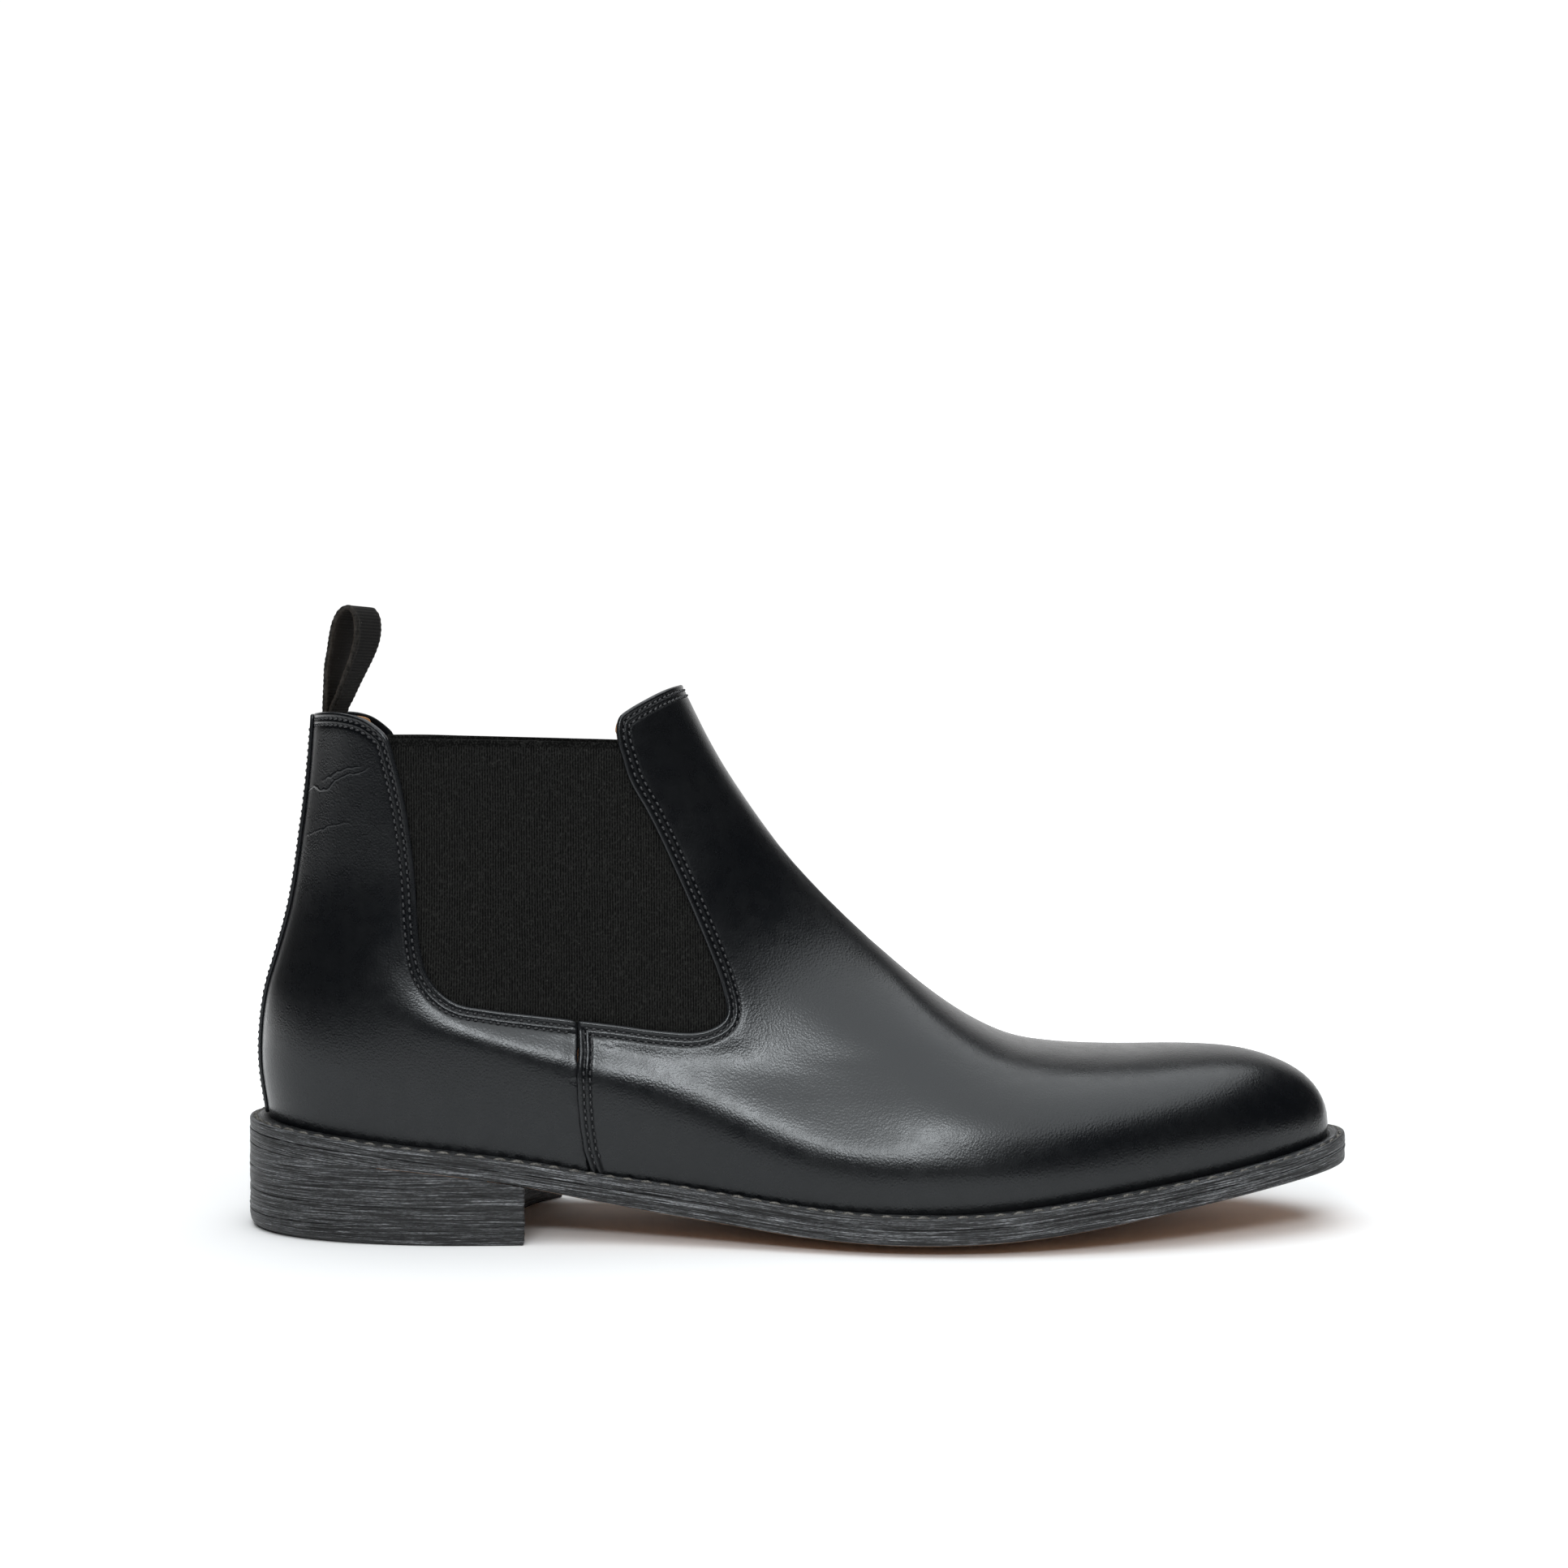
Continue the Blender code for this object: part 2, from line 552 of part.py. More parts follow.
BLACK, SOFT_BLACK = (0.012, 0.013, 0.015), (0.016, 0.016, 0.016)
TAN, PALE, STACK = (0.36, 0.17, 0.07), (0.55, 0.38, 0.22), (0.05, 0.04, 0.035)
CORK_BROWN, STEEL, BRASS = (0.42, 0.28, 0.16), (0.5, 0.5, 0.52), (0.5, 0.45, 0.35)

pivot_z = float(np.interp(-PIVOT_X, -ridge_line[:, 0], ridge_line[:, 1]))
ridge_v = locate([[PIVOT_X, pivot_z]])[0, 1]

seam = locate(SEAM)
seam[-1, 1] = 0
gore_front = locate(spline(GORE_FRONT, 61))
corner = int(np.abs(gore_front - locate([GORE_FRONT[GORE_CORNER]])).sum(1).argmin())
cut = between(gore_front[corner], (1.0, ridge_v))
low_front, high_front = gore_front[: corner + 1], gore_front[corner:]
gore_rear = locate(spline(GORE_REAR, 41))
top_front, top_rear = locate(spline(TOP_FRONT, 21)), locate(spline(TOP_REAR, 21))
top_front[-1, 0], top_rear[0, 0] = 1.0, 0.0
seam[0] = low_front[0]

# the joint's cut falls 0.2 mm to either side of its line
fall = np.array([0, 0.0011])
cut_low, cut_high = cut - fall, cut + fall
LIFT = 3.7  # depth of the lining under the outer surface, where a lap or a stiffener lies between


def lining_top(x, z, a):
    """The lining rises toward the topline behind, where nothing lies between it and the leather."""
    shallow = ease((z - 112) / 20)
    return LIFT - (LIFT - LEATHER - GAP) * shallow


def lining_bottom(x, z, a):
    return lining_top(x, z, a) + LINING


seam_at = table([(p[1], p[0]) for p in reversed(SEAM)])


def quarter_top(x, z, a):
    """The quarter dives under the vamp's lap."""
    return DIVE * ease((x - seam_at(z) + DIVE_START) / 5.5) * ease((51.0 - z) / 3.0)


def quarter_bottom(x, z, a):
    return quarter_top(x, z, a) + LEATHER


def vamp_top(x, z, a):
    """The vamp's edge stands a little proud where it laps over the quarter."""
    return -0.4 * ease((seam_at(z) + 9.0 - x) / 6.0)


def vamp_bottom(x, z, a):
    return vamp_top(x, z, a) + LEATHER


def front_loop():
    """The vamp's outline: side seams, gores' lower edges and the joint's cut."""
    half = [seam[::-1], np.vstack([low_front[:-1], cut_low])]
    low = between((2 - seam[-1, 0], 0), (seam[-1, 0], 0), 160)
    return half + [mirrored(part) for part in reversed(half)] + [low]


panel("vamp", front_loop(), vamp_top, vamp_bottom, BLACK, rough=0.25)
shaft_half = np.vstack([cut_high[::-1][:-1], high_front[1:], top_front[1:]])
panel("vamp_shaft", [shaft_half, mirrored(shaft_half)], 0.0, LEATHER, BLACK, rough=0.25)

# quarters, with a lap under the vamp that stops short of the gore's margin
notch_z = 47.5
seam_line = spline(SEAM, 41)
below = seam_line[seam_line[:, 1] < notch_z]
tab = shifted(below, LAP)
tab_line = locate(np.vstack([[below[0] + [LAP, 0]], tab[1:]]))
tab_line[-1, 1] = 0
seam_gap = locate([p - np.array([0.45, 0]) for p in seam_line if p[1] >= notch_z])
rear_edge = np.vstack([gore_rear[:-1], seam_gap])
back_gap = 0.0015
quarter = [
    between((back_gap, 0), (back_gap, top_rear[0, 1]), 40),
    np.vstack([[[back_gap, top_rear[0, 1]]], top_rear[1:]]),
    np.vstack([rear_edge, tab_line]),
    between(tab_line[-1], (back_gap, 0), 60),
]
folds = [(float(seam_at(z)) + d, z) for z in np.arange(14.5, 52, 4.0) for d in (-DIVE_START, -3.4, 4.5)]
folds = locate([p for p in folds if p[1] < 48 or p[0] < -60])
other = [mirrored(part) for part in reversed(quarter)]
for side, lines, creases in (("lateral", quarter, folds), ("medial", other, mirrored(folds))):
    panel(f"quarter_{side}", lines, quarter_top, quarter_bottom, BLACK, folds=creases, rough=0.25)

# back strip, over the back seam
strip_v = np.linspace(0.028, top_rear[0, 1] - 0.002, 24)
wide = np.array([STRIP_HALF * (0.62 + 0.38 * ease((v - 0.05) / 0.7)) for v in strip_v])
reach = np.array([np.linalg.norm(point(0.02, v) - point(-0.02, v)) / 0.04 for v in strip_v])
strip = np.stack([wide / reach, strip_v], axis=1)
strip_loop = [strip[::-1], between(strip[0], (-strip[0, 0], strip[0, 1]), 3), strip * [-1, 1]]
strip_loop.append(between(strip[-1] * [-1, 1], strip[-1], 3))
strip_loop = [part[::-1] for part in reversed(strip_loop)]
panel("back_strip", strip_loop, -1.1 - STRIP_GAP, -STRIP_GAP, BLACK, rough=0.25)

# gores, behind the leather's edges
opening = np.vstack([spline(GORE_REAR, 41)[:-1], spline(GORE_FRONT, 41)])
margin = shifted(opening, -GORE_LAP)
keep = margin[:, 1] < 133.6
margin = margin[keep]
margin = np.vstack([[margin[0][0] - 0.6, 134.6], margin, [margin[-1][0] - 0.4, 133.6]])
gore_line = locate(margin)
gore = [gore_line, between(gore_line[-1], gore_line[0], 30)]
gore_top = LEATHER + GAP
for side, lines in (("lateral", gore), ("medial", [mirrored(part) for part in reversed(gore)])):
    panel(f"gore_{side}", lines, gore_top, gore_top + ELASTIC, SOFT_BLACK, rough=0.9)

# linings meet the gores' margins edge to edge
rim = shifted(margin, -0.6)
rim_line = locate(rim)
low_row = int(np.abs(rim[:, 0] + 59.0).argmin())
turn_row = int(np.where(rim[:, 1] < 75, rim_line[:, 0], 0).argmax())
cut_in = between(rim_line[turn_row], (1.0, ridge_v))
in_low, in_high = cut_in - fall, cut_in + fall
split_line = between(rim_line[low_row], (seam[-1, 0], 0), 20)
vamp_half = [split_line[::-1], np.vstack([rim_line[low_row:turn_row], in_low])]
low = between((2 - seam[-1, 0], 0), (seam[-1, 0], 0), 160)
vamp_in = vamp_half + [mirrored(part) for part in reversed(vamp_half)] + [low]
panel("vamp_lining", vamp_in, lining_top, lining_bottom, TAN, rough=0.6)
front_cap = locate(spline([(p[0], p[1] - 0.3) for p in TOP_FRONT], 21))
front_cap[-1, 0] = 1.0
shaft_in = np.vstack([in_high[::-1][:-1], rim_line[turn_row + 1 :], locate([[-48.3, 135.2]]), front_cap[2:]])
cap_top = LEATHER + GAP
panel("vamp_shaft_lining", [shaft_in, mirrored(shaft_in)], cap_top, cap_top + LINING, TAN, rough=0.6)

rear_cap = locate(spline([(p[0], p[1] - 0.3) for p in TOP_REAR], 21))
rear_cap[0, 0] = back_gap
rear_cap = rear_cap[rear_cap[:, 0] < rim_line[0, 0] - 0.004]
split_back = split_line - [0.0035, 0]
quarter_in = [
    between((back_gap, 0), (back_gap, rear_cap[0, 1]), 40),
    np.vstack([[[back_gap, rear_cap[0, 1]]], rear_cap[1:], rim_line[:low_row], split_back[1:]]),
    between(split_back[-1], (back_gap, 0), 60),
]
for side, lines in (("lateral", quarter_in), ("medial", [mirrored(part) for part in reversed(quarter_in)])):
    panel(f"quarter_lining_{side}", lines, lining_top, lining_bottom, TAN, rough=0.6)

# toe puff and heel counter, between leather and lining
puff_line = locate([(99, 15.5), (101, 26), (104, 36), (107, 44)])
puff_half = np.vstack([puff_line, [[1.0, float(locate([[108, 48.4]])[0, 1])]]])
puff_half = resample(puff_half, 12)
puff_half[0, 1] = 0.012
low = between((2 - puff_half[0, 0], 0.012), puff_half[0], 60)
stiff = LEATHER + GAP + 0.1
panel("toe_puff", [puff_half, mirrored(puff_half), low], stiff, stiff + STIFFENER, PALE, size=6.0, rough=0.8)
counter_half = locate(spline([(-141, 84), (-128, 80), (-114, 66), (-98, 46), (-88, 30)], 16))
counter_half[0, 0] = 0.0
counter_half = np.vstack([counter_half, [[counter_half[-1, 0] - 0.004, 0.012]]])
counter = [
    counter_half,
    between(counter_half[-1], counter_half[-1] * [-1, 1], 50),
    (counter_half * [-1, 1])[::-1],
]
panel("heel_counter", counter, stiff, stiff + STIFFENER, PALE, size=8.0, rough=0.8)

# ---------------------------------------------------------------- bottom
ring_out = sole_loop
wall = loop_at(0.0, -0.9, 400)
wall = np.array([wall[((wall - p) ** 2).sum(1).argmin()] for p in ring_out])
n = len(ring_out)
rings = [
    np.column_stack([ring_out, sole_top(ring_out[:, 0]) - WELT]),
    np.column_stack([ring_out, sole_top(ring_out[:, 0])]),
    np.column_stack([wall, sole_top(wall[:, 0])]),
    np.column_stack([wall, sole_top(wall[:, 0]) - WELT]),
]
faces = [
    (r * n + k, r * n + (k + 1) % n, ((r + 1) % 4) * n + (k + 1) % n, ((r + 1) % 4) * n + k)
    for r in range(4)
    for k in range(n)
]
add_object("welt", np.vstack(rings), faces, STACK, rough=0.4, smooth=False)
plate("outsole", sole_loop[::2], above_sole(-WELT - GAP), tread, TAN, rough=0.5, smooth=False)

inner = LIFT + LINING + 1.5
insole_loop = loop_at(0.8, inner, 90)
plate("insole", insole_loop, above_sole(2.0), above_sole(2.0 - INSOLE), PALE, rough=0.8, smooth=False)
sock_loop = loop_at(2.9, inner + 0.3, 90)
plate("sock_lining", sock_loop, above_sole(2.4 + SOCK), above_sole(2.4), TAN, rough=0.7, smooth=False)
cork_loop = grown(insole_loop, np.full(len(insole_loop), -7.0))
cork_loop = cork_loop[cork_loop[:, 0] > -22]
cork_top, cork_bottom = above_sole(-0.9), above_sole(-0.9 - CORK)
plate("cork_filler", cork_loop, cork_top, cork_bottom, CORK_BROWN, rough=0.9, smooth=False)
shank_loop = [(x, 7 * w) for x, w in zip(np.linspace(-126, -26, 21), [0.8] + [1.0] * 19 + [0.8])]
shank_loop = np.array(shank_loop + [(x, -y) for x, y in reversed(shank_loop)])[::-1]
plate("shank", shank_loop, above_sole(-1.1), above_sole(-2.7), STEEL, rough=0.35, metal=1.0, smooth=False)


def lift_height(k):
    """The top of lift k, counted from the top piece (0) to the sole."""
    return lambda x, y: TOP_PIECE + (sole_edge_bottom(x) - 0.3 - TOP_PIECE) * k / LIFTS


heel_plan = heel_outline(0.0)
for k in range(LIFTS):
    low_side = lift_height(k)
    plate(
        f"heel_lift_{LIFTS - k}",
        heel_plan,
        lift_height(k + 1),
        lambda x, y, low_side=low_side: low_side(x, y) + 0.3,
        STACK,
        size=20.0,
        rough=0.45,
        smooth=False,
    )
top_piece = plate(
    "heel_top_piece",
    heel_plan,
    lambda x, y: np.full(len(x), TOP_PIECE),
    lambda x, y: np.zeros(len(x)),
    BLACK,
    size=20.0,
    rough=0.7,
    smooth=False,
)

# nails that hold the top piece, with their heads flush in its sole
NAILS = [(-142, 0), (-128, -19), (-128, 20), (-94, -24), (-94, 24)]


def turned(name, x, y, profile, color, sides=12, **look):
    """A round piece about a vertical line, from (radius, z) pairs given bottom to top."""
    ring = [(math.cos(2 * math.pi * k / sides), math.sin(2 * math.pi * k / sides)) for k in range(sides)]
    verts = [(x + r * c, y + r * s, z) for r, z in profile for c, s in ring]
    faces = [
        (j * sides + k, j * sides + (k + 1) % sides, (j + 1) * sides + (k + 1) % sides, (j + 1) * sides + k)
        for j in range(len(profile) - 1)
        for k in range(sides)
    ]
    faces += [tuple(reversed(range(sides))), tuple(range((len(profile) - 1) * sides, len(profile) * sides))]
    return add_object(name, verts, faces, color, **look)


def cutter(thing, index, x, y, profile):
    tool = turned(f"{thing.name}_hole_{index}", x, y, profile, (1, 0, 0), smooth=False)
    tool.hide_render = True
    tool.display_type = "WIRE"
    cut_away = thing.modifiers.new(f"hole_{index}", "BOOLEAN")
    cut_away.operation, cut_away.solver, cut_away.object = "DIFFERENCE", "EXACT", tool


lifts = [bpy.data.objects[f"heel_lift_{k}"] for k in (LIFTS, LIFTS - 1)]
for index, (x, y) in enumerate(NAILS, 1):
    nail = [(NAIL_HEAD, 0.1), (NAIL_HEAD, 1.1), (NAIL_SHAFT, 1.3), (NAIL_SHAFT, NAIL_LONG)]
    turned(f"heel_nail_{index}", x, y, nail, BRASS, rough=0.4, metal=1.0, smooth=False)
    head_room, shaft_room = NAIL_HEAD + 0.25, NAIL_SHAFT + 0.2
    cutter(top_piece, index, x, y, [(head_room, -1), (head_room, 1.5), (shaft_room, 1.7), (shaft_room, 7)])
    for lift in lifts:
        cutter(lift, index, x, y, [(shaft_room, 3), (shaft_room, NAIL_LONG + 0.4)])


# ---------------------------------------------------------------- pull loop
def band(name, path, far_forward, width, thick, color, **look):
    """A flat band swept along a path in the side view; each row leans forward on its far side."""
    path = np.asarray(path, float)
    d = np.gradient(path, axis=0)
    d /= np.linalg.norm(d, axis=1, keepdims=True)
    side = np.stack([-d[:, 1], d[:, 0]], axis=1)
    verts = []
    for p, s, f in zip(path, side, far_forward):
        for across, through in ((-1, -1), (1, -1), (1, 1), (-1, 1)):
            x = p[0] + s[0] * through * thick / 2 + across * f / 2
            z = p[1] + s[1] * through * thick / 2
            verts.append((x, across * width / 2, z))
    faces = [
        (4 * j + k, 4 * j + (k + 1) % 4, 4 * j + 4 + (k + 1) % 4, 4 * j + 4 + k)
        for j in range(len(path) - 1)
        for k in range(4)
    ]
    faces += [(3, 2, 1, 0), tuple(4 * (len(path) - 1) + k for k in range(4))]
    return add_object(name, verts, faces, color, **look)


loop_path = spline(LOOP_PATH, 41)
lift_of = ease((loop_path[:, 1] - LOOP_PIVOT[1]) / 24)
forward = LOOP_TWIST[0] + (LOOP_TWIST[1] - LOOP_TWIST[0]) * lift_of
loop = band(
    "pull_loop", loop_path, forward, WEB_WIDTH, WEB_THICK, SOFT_BLACK, rough=0.9,
    origin=(LOOP_PIVOT[0], 0, LOOP_PIVOT[1]),
)  # fmt: skip
tail_v = np.linspace(float(locate([[-133, 122]])[0, 1]), float(locate([[-133, 140.8]])[0, 1]), 6)
tail_reach = np.array([np.linalg.norm(point(0.02, v) - point(-0.02, v)) / 0.04 for v in tail_v])
tail = np.stack([WEB_WIDTH / 2 / tail_reach, tail_v], axis=1)
tails = [
    between(tail[0] * [-1, 1], tail[0], 5),
    tail,
    between(tail[-1], tail[-1] * [-1, 1], 5),
    (tail * [-1, 1])[::-1],
]


def tails_top(x, z, a):
    return lining_bottom(x, z, a) + GAP


def tails_bottom(x, z, a):
    return lining_bottom(x, z, a) + GAP + 2 * WEB_THICK


panel("pull_loop_tails", tails, tails_top, tails_bottom, SOFT_BLACK, rough=0.9)

# ---------------------------------------------------------------- middle the whole on the origin
solids = [o for o in bpy.data.objects if o.type == "MESH" and not o.hide_render]
ends = np.array([o.matrix_basis @ v.co for o in solids for v in o.data.vertices])
middle = (ends.min(0) + ends.max(0)) / 2
for thing in bpy.data.objects:
    thing.location.x -= middle[0]
    thing.location.y -= middle[1]
    thing.location.z -= ends[:, 2].min()
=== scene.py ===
"""Chelsea boot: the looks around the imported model.

The toe points along +X and the lateral side along -Y. Lengths are in millimetres unless metres are named.
"""

import math

import bpy
import numpy as np
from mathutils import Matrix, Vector
from mathutils.geometry import delaunay_2d_cdt


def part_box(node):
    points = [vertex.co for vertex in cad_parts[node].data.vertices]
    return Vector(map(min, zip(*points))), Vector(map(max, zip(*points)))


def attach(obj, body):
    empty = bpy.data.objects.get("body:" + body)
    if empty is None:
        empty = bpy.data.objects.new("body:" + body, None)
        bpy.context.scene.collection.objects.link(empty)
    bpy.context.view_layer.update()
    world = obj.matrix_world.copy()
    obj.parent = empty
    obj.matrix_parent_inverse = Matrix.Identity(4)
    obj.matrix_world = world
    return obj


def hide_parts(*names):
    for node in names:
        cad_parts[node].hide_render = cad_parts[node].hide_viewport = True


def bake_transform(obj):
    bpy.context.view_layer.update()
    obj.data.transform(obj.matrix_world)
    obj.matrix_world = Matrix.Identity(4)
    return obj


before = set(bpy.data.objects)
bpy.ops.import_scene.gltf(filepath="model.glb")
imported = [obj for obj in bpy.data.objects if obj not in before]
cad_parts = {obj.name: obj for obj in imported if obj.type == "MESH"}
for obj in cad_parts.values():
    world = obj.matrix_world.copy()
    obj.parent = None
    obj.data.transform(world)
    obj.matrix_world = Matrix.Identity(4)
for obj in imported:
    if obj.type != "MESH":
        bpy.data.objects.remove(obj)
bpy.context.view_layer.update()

# ---------------------------------------------------------------- dimensions, mm
MM = 0.001
LEATHER, LINING, ELASTIC = 1.4, 0.9, 1.1  # thicknesses
CLEARANCE = 0.12  # between the leather and what lies against it
LINING_DEPTH = 3.7  # the lining's outer face under the leather's, below the topline
WELT = 3.0
INSOLE, SOCK = 2.4, 1.0
TOP_PIECE = 5.0
LIFTS = 3
WELT_OUT = (5.6, 3.4, 5.2)  # the sole's margin beyond the upper: heel, waist, forefoot
LAP = 10.0  # of the quarter under the vamp
GORE_LAP = 6.5  # of the elastic behind the leather's edges
GORE_TOP = 134.3
STRIP_HALF = 6.5  # half the back strip's width at its top
WEB_WIDTH, WEB_THICK = 18.0, 1.3
ELASTIC_DEPTH = 1.55  # the elastic's outer face under the leather's
RIDGE_SWING = 4.0  # how far the ridge stands toward the medial side at the toe
FOOT_TOP, ANKLE_LOW = 48, 100  # heights between which the foot's shape goes over into the ankle's
BACK_GAP = 0.0012  # from the quarter's rear edge to the back seam, in turns

RIDGE = [
    (147.4, 23), (148.2, 27), (147.9, 31), (145.8, 36), (141.9, 40.4), (135.7, 44), (125.8, 47.2),
    (112, 48.5), (92.6, 48.3), (75.4, 48.8), (60.4, 51), (49.1, 56), (37.8, 63.4), (26.4, 72.7),
    (15.1, 82.8), (3.7, 94.1), (-3.5, 102.1), (-10.1, 110.7), (-16.7, 120.2), (-21.4, 127.5),
    (-25.6, 135), (-31, 146), (-36, 156),
]  # fmt: skip
BACK = [
    (-147.2, 27), (-147.8, 33), (-148.8, 39), (-149.5, 46), (-149.4, 52.6), (-148.8, 59.4),
    (-147.6, 66.2), (-145.6, 73), (-143.6, 79.8), (-141.8, 86.6), (-140.4, 93.4), (-139.3, 100.3),
    (-138.4, 107), (-137.4, 114), (-136.5, 121), (-135.5, 131), (-134.8, 141), (-134.4, 150),
]  # fmt: skip
SOLE_TOP = [
    (-153, 30.2), (-137.6, 28.9), (-121, 27.2), (-106, 25.6), (-92, 24.2), (-83, 23.1), (-72, 21.7),
    (-60, 19.5), (-48.6, 17.8), (-37.4, 16.5), (-26, 15.1), (-14, 13.4), (-2.7, 12), (16.8, 10.4),
    (31, 10.1), (54, 10.9), (75, 13.4), (101, 16.8), (121, 19.6), (135, 21.8), (153, 25.3),
]  # fmt: skip
SOLE_BOTTOM = [
    (-153, 23.5), (-72, 15.3), (-61, 12.9), (-48.6, 10.6), (-37.4, 8.8), (-22.5, 7.0), (-14, 5.8),
    (-2.7, 4.4), (16.8, 3.1), (31, 2.9), (54, 3.7), (75, 6), (101, 10.1), (125, 13.8), (153, 17.6),
]  # fmt: skip
GORE_REAR = [
    (-110.6, 135), (-107.4, 122.9), (-105.6, 113.8), (-103.5, 97.1), (-102.5, 83.4),
    (-101.7, 77.4), (-100.3, 72.2), (-97, 67.3), (-92.6, 64.1), (-83.7, 62.1), (-71.7, 60.5),
    (-59.7, 59.1),
]  # fmt: skip
GORE_FRONT = [
    (-59.7, 59.1), (-48.8, 57.9), (-40.1, 56.8), (-34.6, 56.3), (-27.9, 56.1), (-24.1, 56.9),
    (-21, 58.5), (-19.5, 60.3), (-19.4, 62.5), (-20.4, 66.9), (-21.9, 71.8), (-23.7, 76.5),
    (-25.9, 82), (-32.4, 97.1), (-40.7, 114.7), (-45.7, 123.8), (-47.7, 130.4), (-48.8, 134),
]  # fmt: skip
TOP_REAR = [(-135.6, 141.3), (-130, 141.8), (-123.2, 141.4), (-117.9, 140.1), (-114.2, 138), (-110.6, 135)]
TOP_FRONT = [
    (-48.8, 134), (-49, 137.7), (-48.2, 140.8), (-46.4, 142.2), (-41.4, 145.3), (-35.7, 148.3),
    (-32.6, 149.5),
]  # fmt: skip
SEAM = [(-59.4, 58.6), (-59.1, 50.7), (-59.4, 44.6), (-59.1, 37), (-58.6, 30.9), (-57.8, 24.9), (-55.5, 13)]
PLAN_LATERAL = [
    (-140, 16.5), (-130, 23.5), (-115, 28.5), (-95, 30.2), (-72, 30.4), (-45, 31.8), (-20, 36.4), (5, 42.5),
    (30, 46.2), (50, 46), (75, 42), (100, 34.6), (120, 26.3), (135, 17.2), (143, 9.6),
]  # fmt: skip
PLAN_MEDIAL = [
    (-140, 17.5), (-130, 25), (-115, 30), (-95, 30.6), (-72, 29.4), (-45, 27.2), (-20, 28.6), (5, 35.8),
    (30, 44.2), (50, 48.4), (65, 48.9), (85, 46.5), (105, 40.2), (120, 33.6), (135, 24.8), (143, 17.2),
]  # fmt: skip
ANKLE_HALF = [(30, 35), (50, 34.5), (70, 32.8), (85, 31.2), (100, 30.4), (120, 31), (150, 33), (160, 33.6)]
DOME = [  # how square the foot's cross-section is, as a power
    (-150, 2.6), (-20, 2.0), (10, 1.5), (26, 1.75), (40, 2.8), (55, 3.7), (75, 4.4), (110, 4.2), (150, 3.4),
]  # fmt: skip
FOLD = [  # where the sides turn from the wall to the upper slope, in the side view
    (-110.5, 106), (-109.5, 94), (-108, 82), (-105, 72.5), (-100, 65), (-93, 60.5), (-82, 57.5),
    (-71, 54), (-60, 50.5), (-48.7, 47), (-37.5, 43.2), (-26.4, 39.5), (-15, 35.6), (-4, 31.5),
    (7, 28.8), (18.4, 26.5), (30, 25.5),
]  # fmt: skip
FOLD_DEPTH = [  # how far they draw in above it, by x
    (-113, 0.0), (-110, 0.6), (-104, 3.0), (-96, 4.2), (-66, 4.0), (-50, 3.3), (-38, 3.5), (-24, 4.9),
    (-8, 4.6), (8, 3.2), (24, 1.6), (40, 0.3), (55, 0),
]  # fmt: skip
BREAST = [(-72.7, -36), (-77.5, -20), (-80.2, -2), (-79, 12), (-74.5, 25), (-66, 37)]  # heel's front (x, y)
LOOP_PATH = [
    (-130.2, 139.5), (-130.2, 142), (-129.6, 150), (-129, 155), (-128.1, 158.5), (-127.2, 163),
    (-126, 167.2), (-124.2, 170), (-122.4, 170.7), (-121, 169.2), (-120.3, 165.8),
    (-120.6, 161.6), (-121.8, 157.6), (-123.3, 154), (-125.3, 149.4), (-126.9, 145.6), (-128.4, 142.4),
    (-128.7, 139.5),
]  # fmt: skip


# ---------------------------------------------------------------- curves
def unit(vectors):
    return vectors / np.linalg.norm(vectors, axis=-1, keepdims=True)


def lengths(line):
    """The distance run along a line at each of its points."""
    return np.concatenate([[0], np.cumsum(np.linalg.norm(np.diff(line, axis=0), axis=1))])


def read_at(at, run, line):
    """A line's points where its run reaches the given values."""
    return np.stack([np.interp(at, run, line[:, k]) for k in range(line.shape[1])], axis=-1)


def closed(loop):
    return np.vstack([loop, loop[:1]])


def to_left(directions):
    """Plane directions turned left."""
    return np.stack([-directions[:, 1], directions[:, 0]], axis=1)


def bilinear(s, t, a, b, c, d):
    """Between the values at four corners: a, b along s where t is 0, and c, d where t is 1."""
    return (1 - s) * (1 - t) * a + s * (1 - t) * b + (1 - s) * t * c + s * t * d


def rounding(radius, near):
    """How far a face draws in at a distance from an edge that is rounded by a radius."""
    return radius - np.sqrt(np.clip(radius**2 - np.clip(radius - near, 0, None) ** 2, 0, None))


def spline(points, count=241):
    """Evenly spaced points on a smooth curve through the given points."""
    p = np.array(points, float)
    step = np.linalg.norm(np.diff(p, axis=0), axis=1)
    d = np.diff(p, axis=0) / step[:, None]
    w = (step[1:] / (step[1:] + step[:-1]))[:, None]
    tangent = np.vstack([d[:1], w * d[:-1] + (1 - w) * d[1:], d[-1:]])
    start = lengths(p)
    s = np.linspace(0, start[-1], 8 * count)
    k = np.clip(np.searchsorted(start, s, "right") - 1, 0, len(step) - 1)
    h = step[k][:, None]
    t = ((s - start[k]) / step[k])[:, None]
    fine = (
        (2 * t**3 - 3 * t**2 + 1) * p[k]
        + (t**3 - 2 * t**2 + t) * h * tangent[k]
        + (3 * t**2 - 2 * t**3) * p[k + 1]
        + (t**3 - t**2) * h * tangent[k + 1]
    )
    return resample(fine, count)


def resample(line, count):
    run = lengths(line)
    return read_at(np.linspace(0, run[-1], count), run, line)


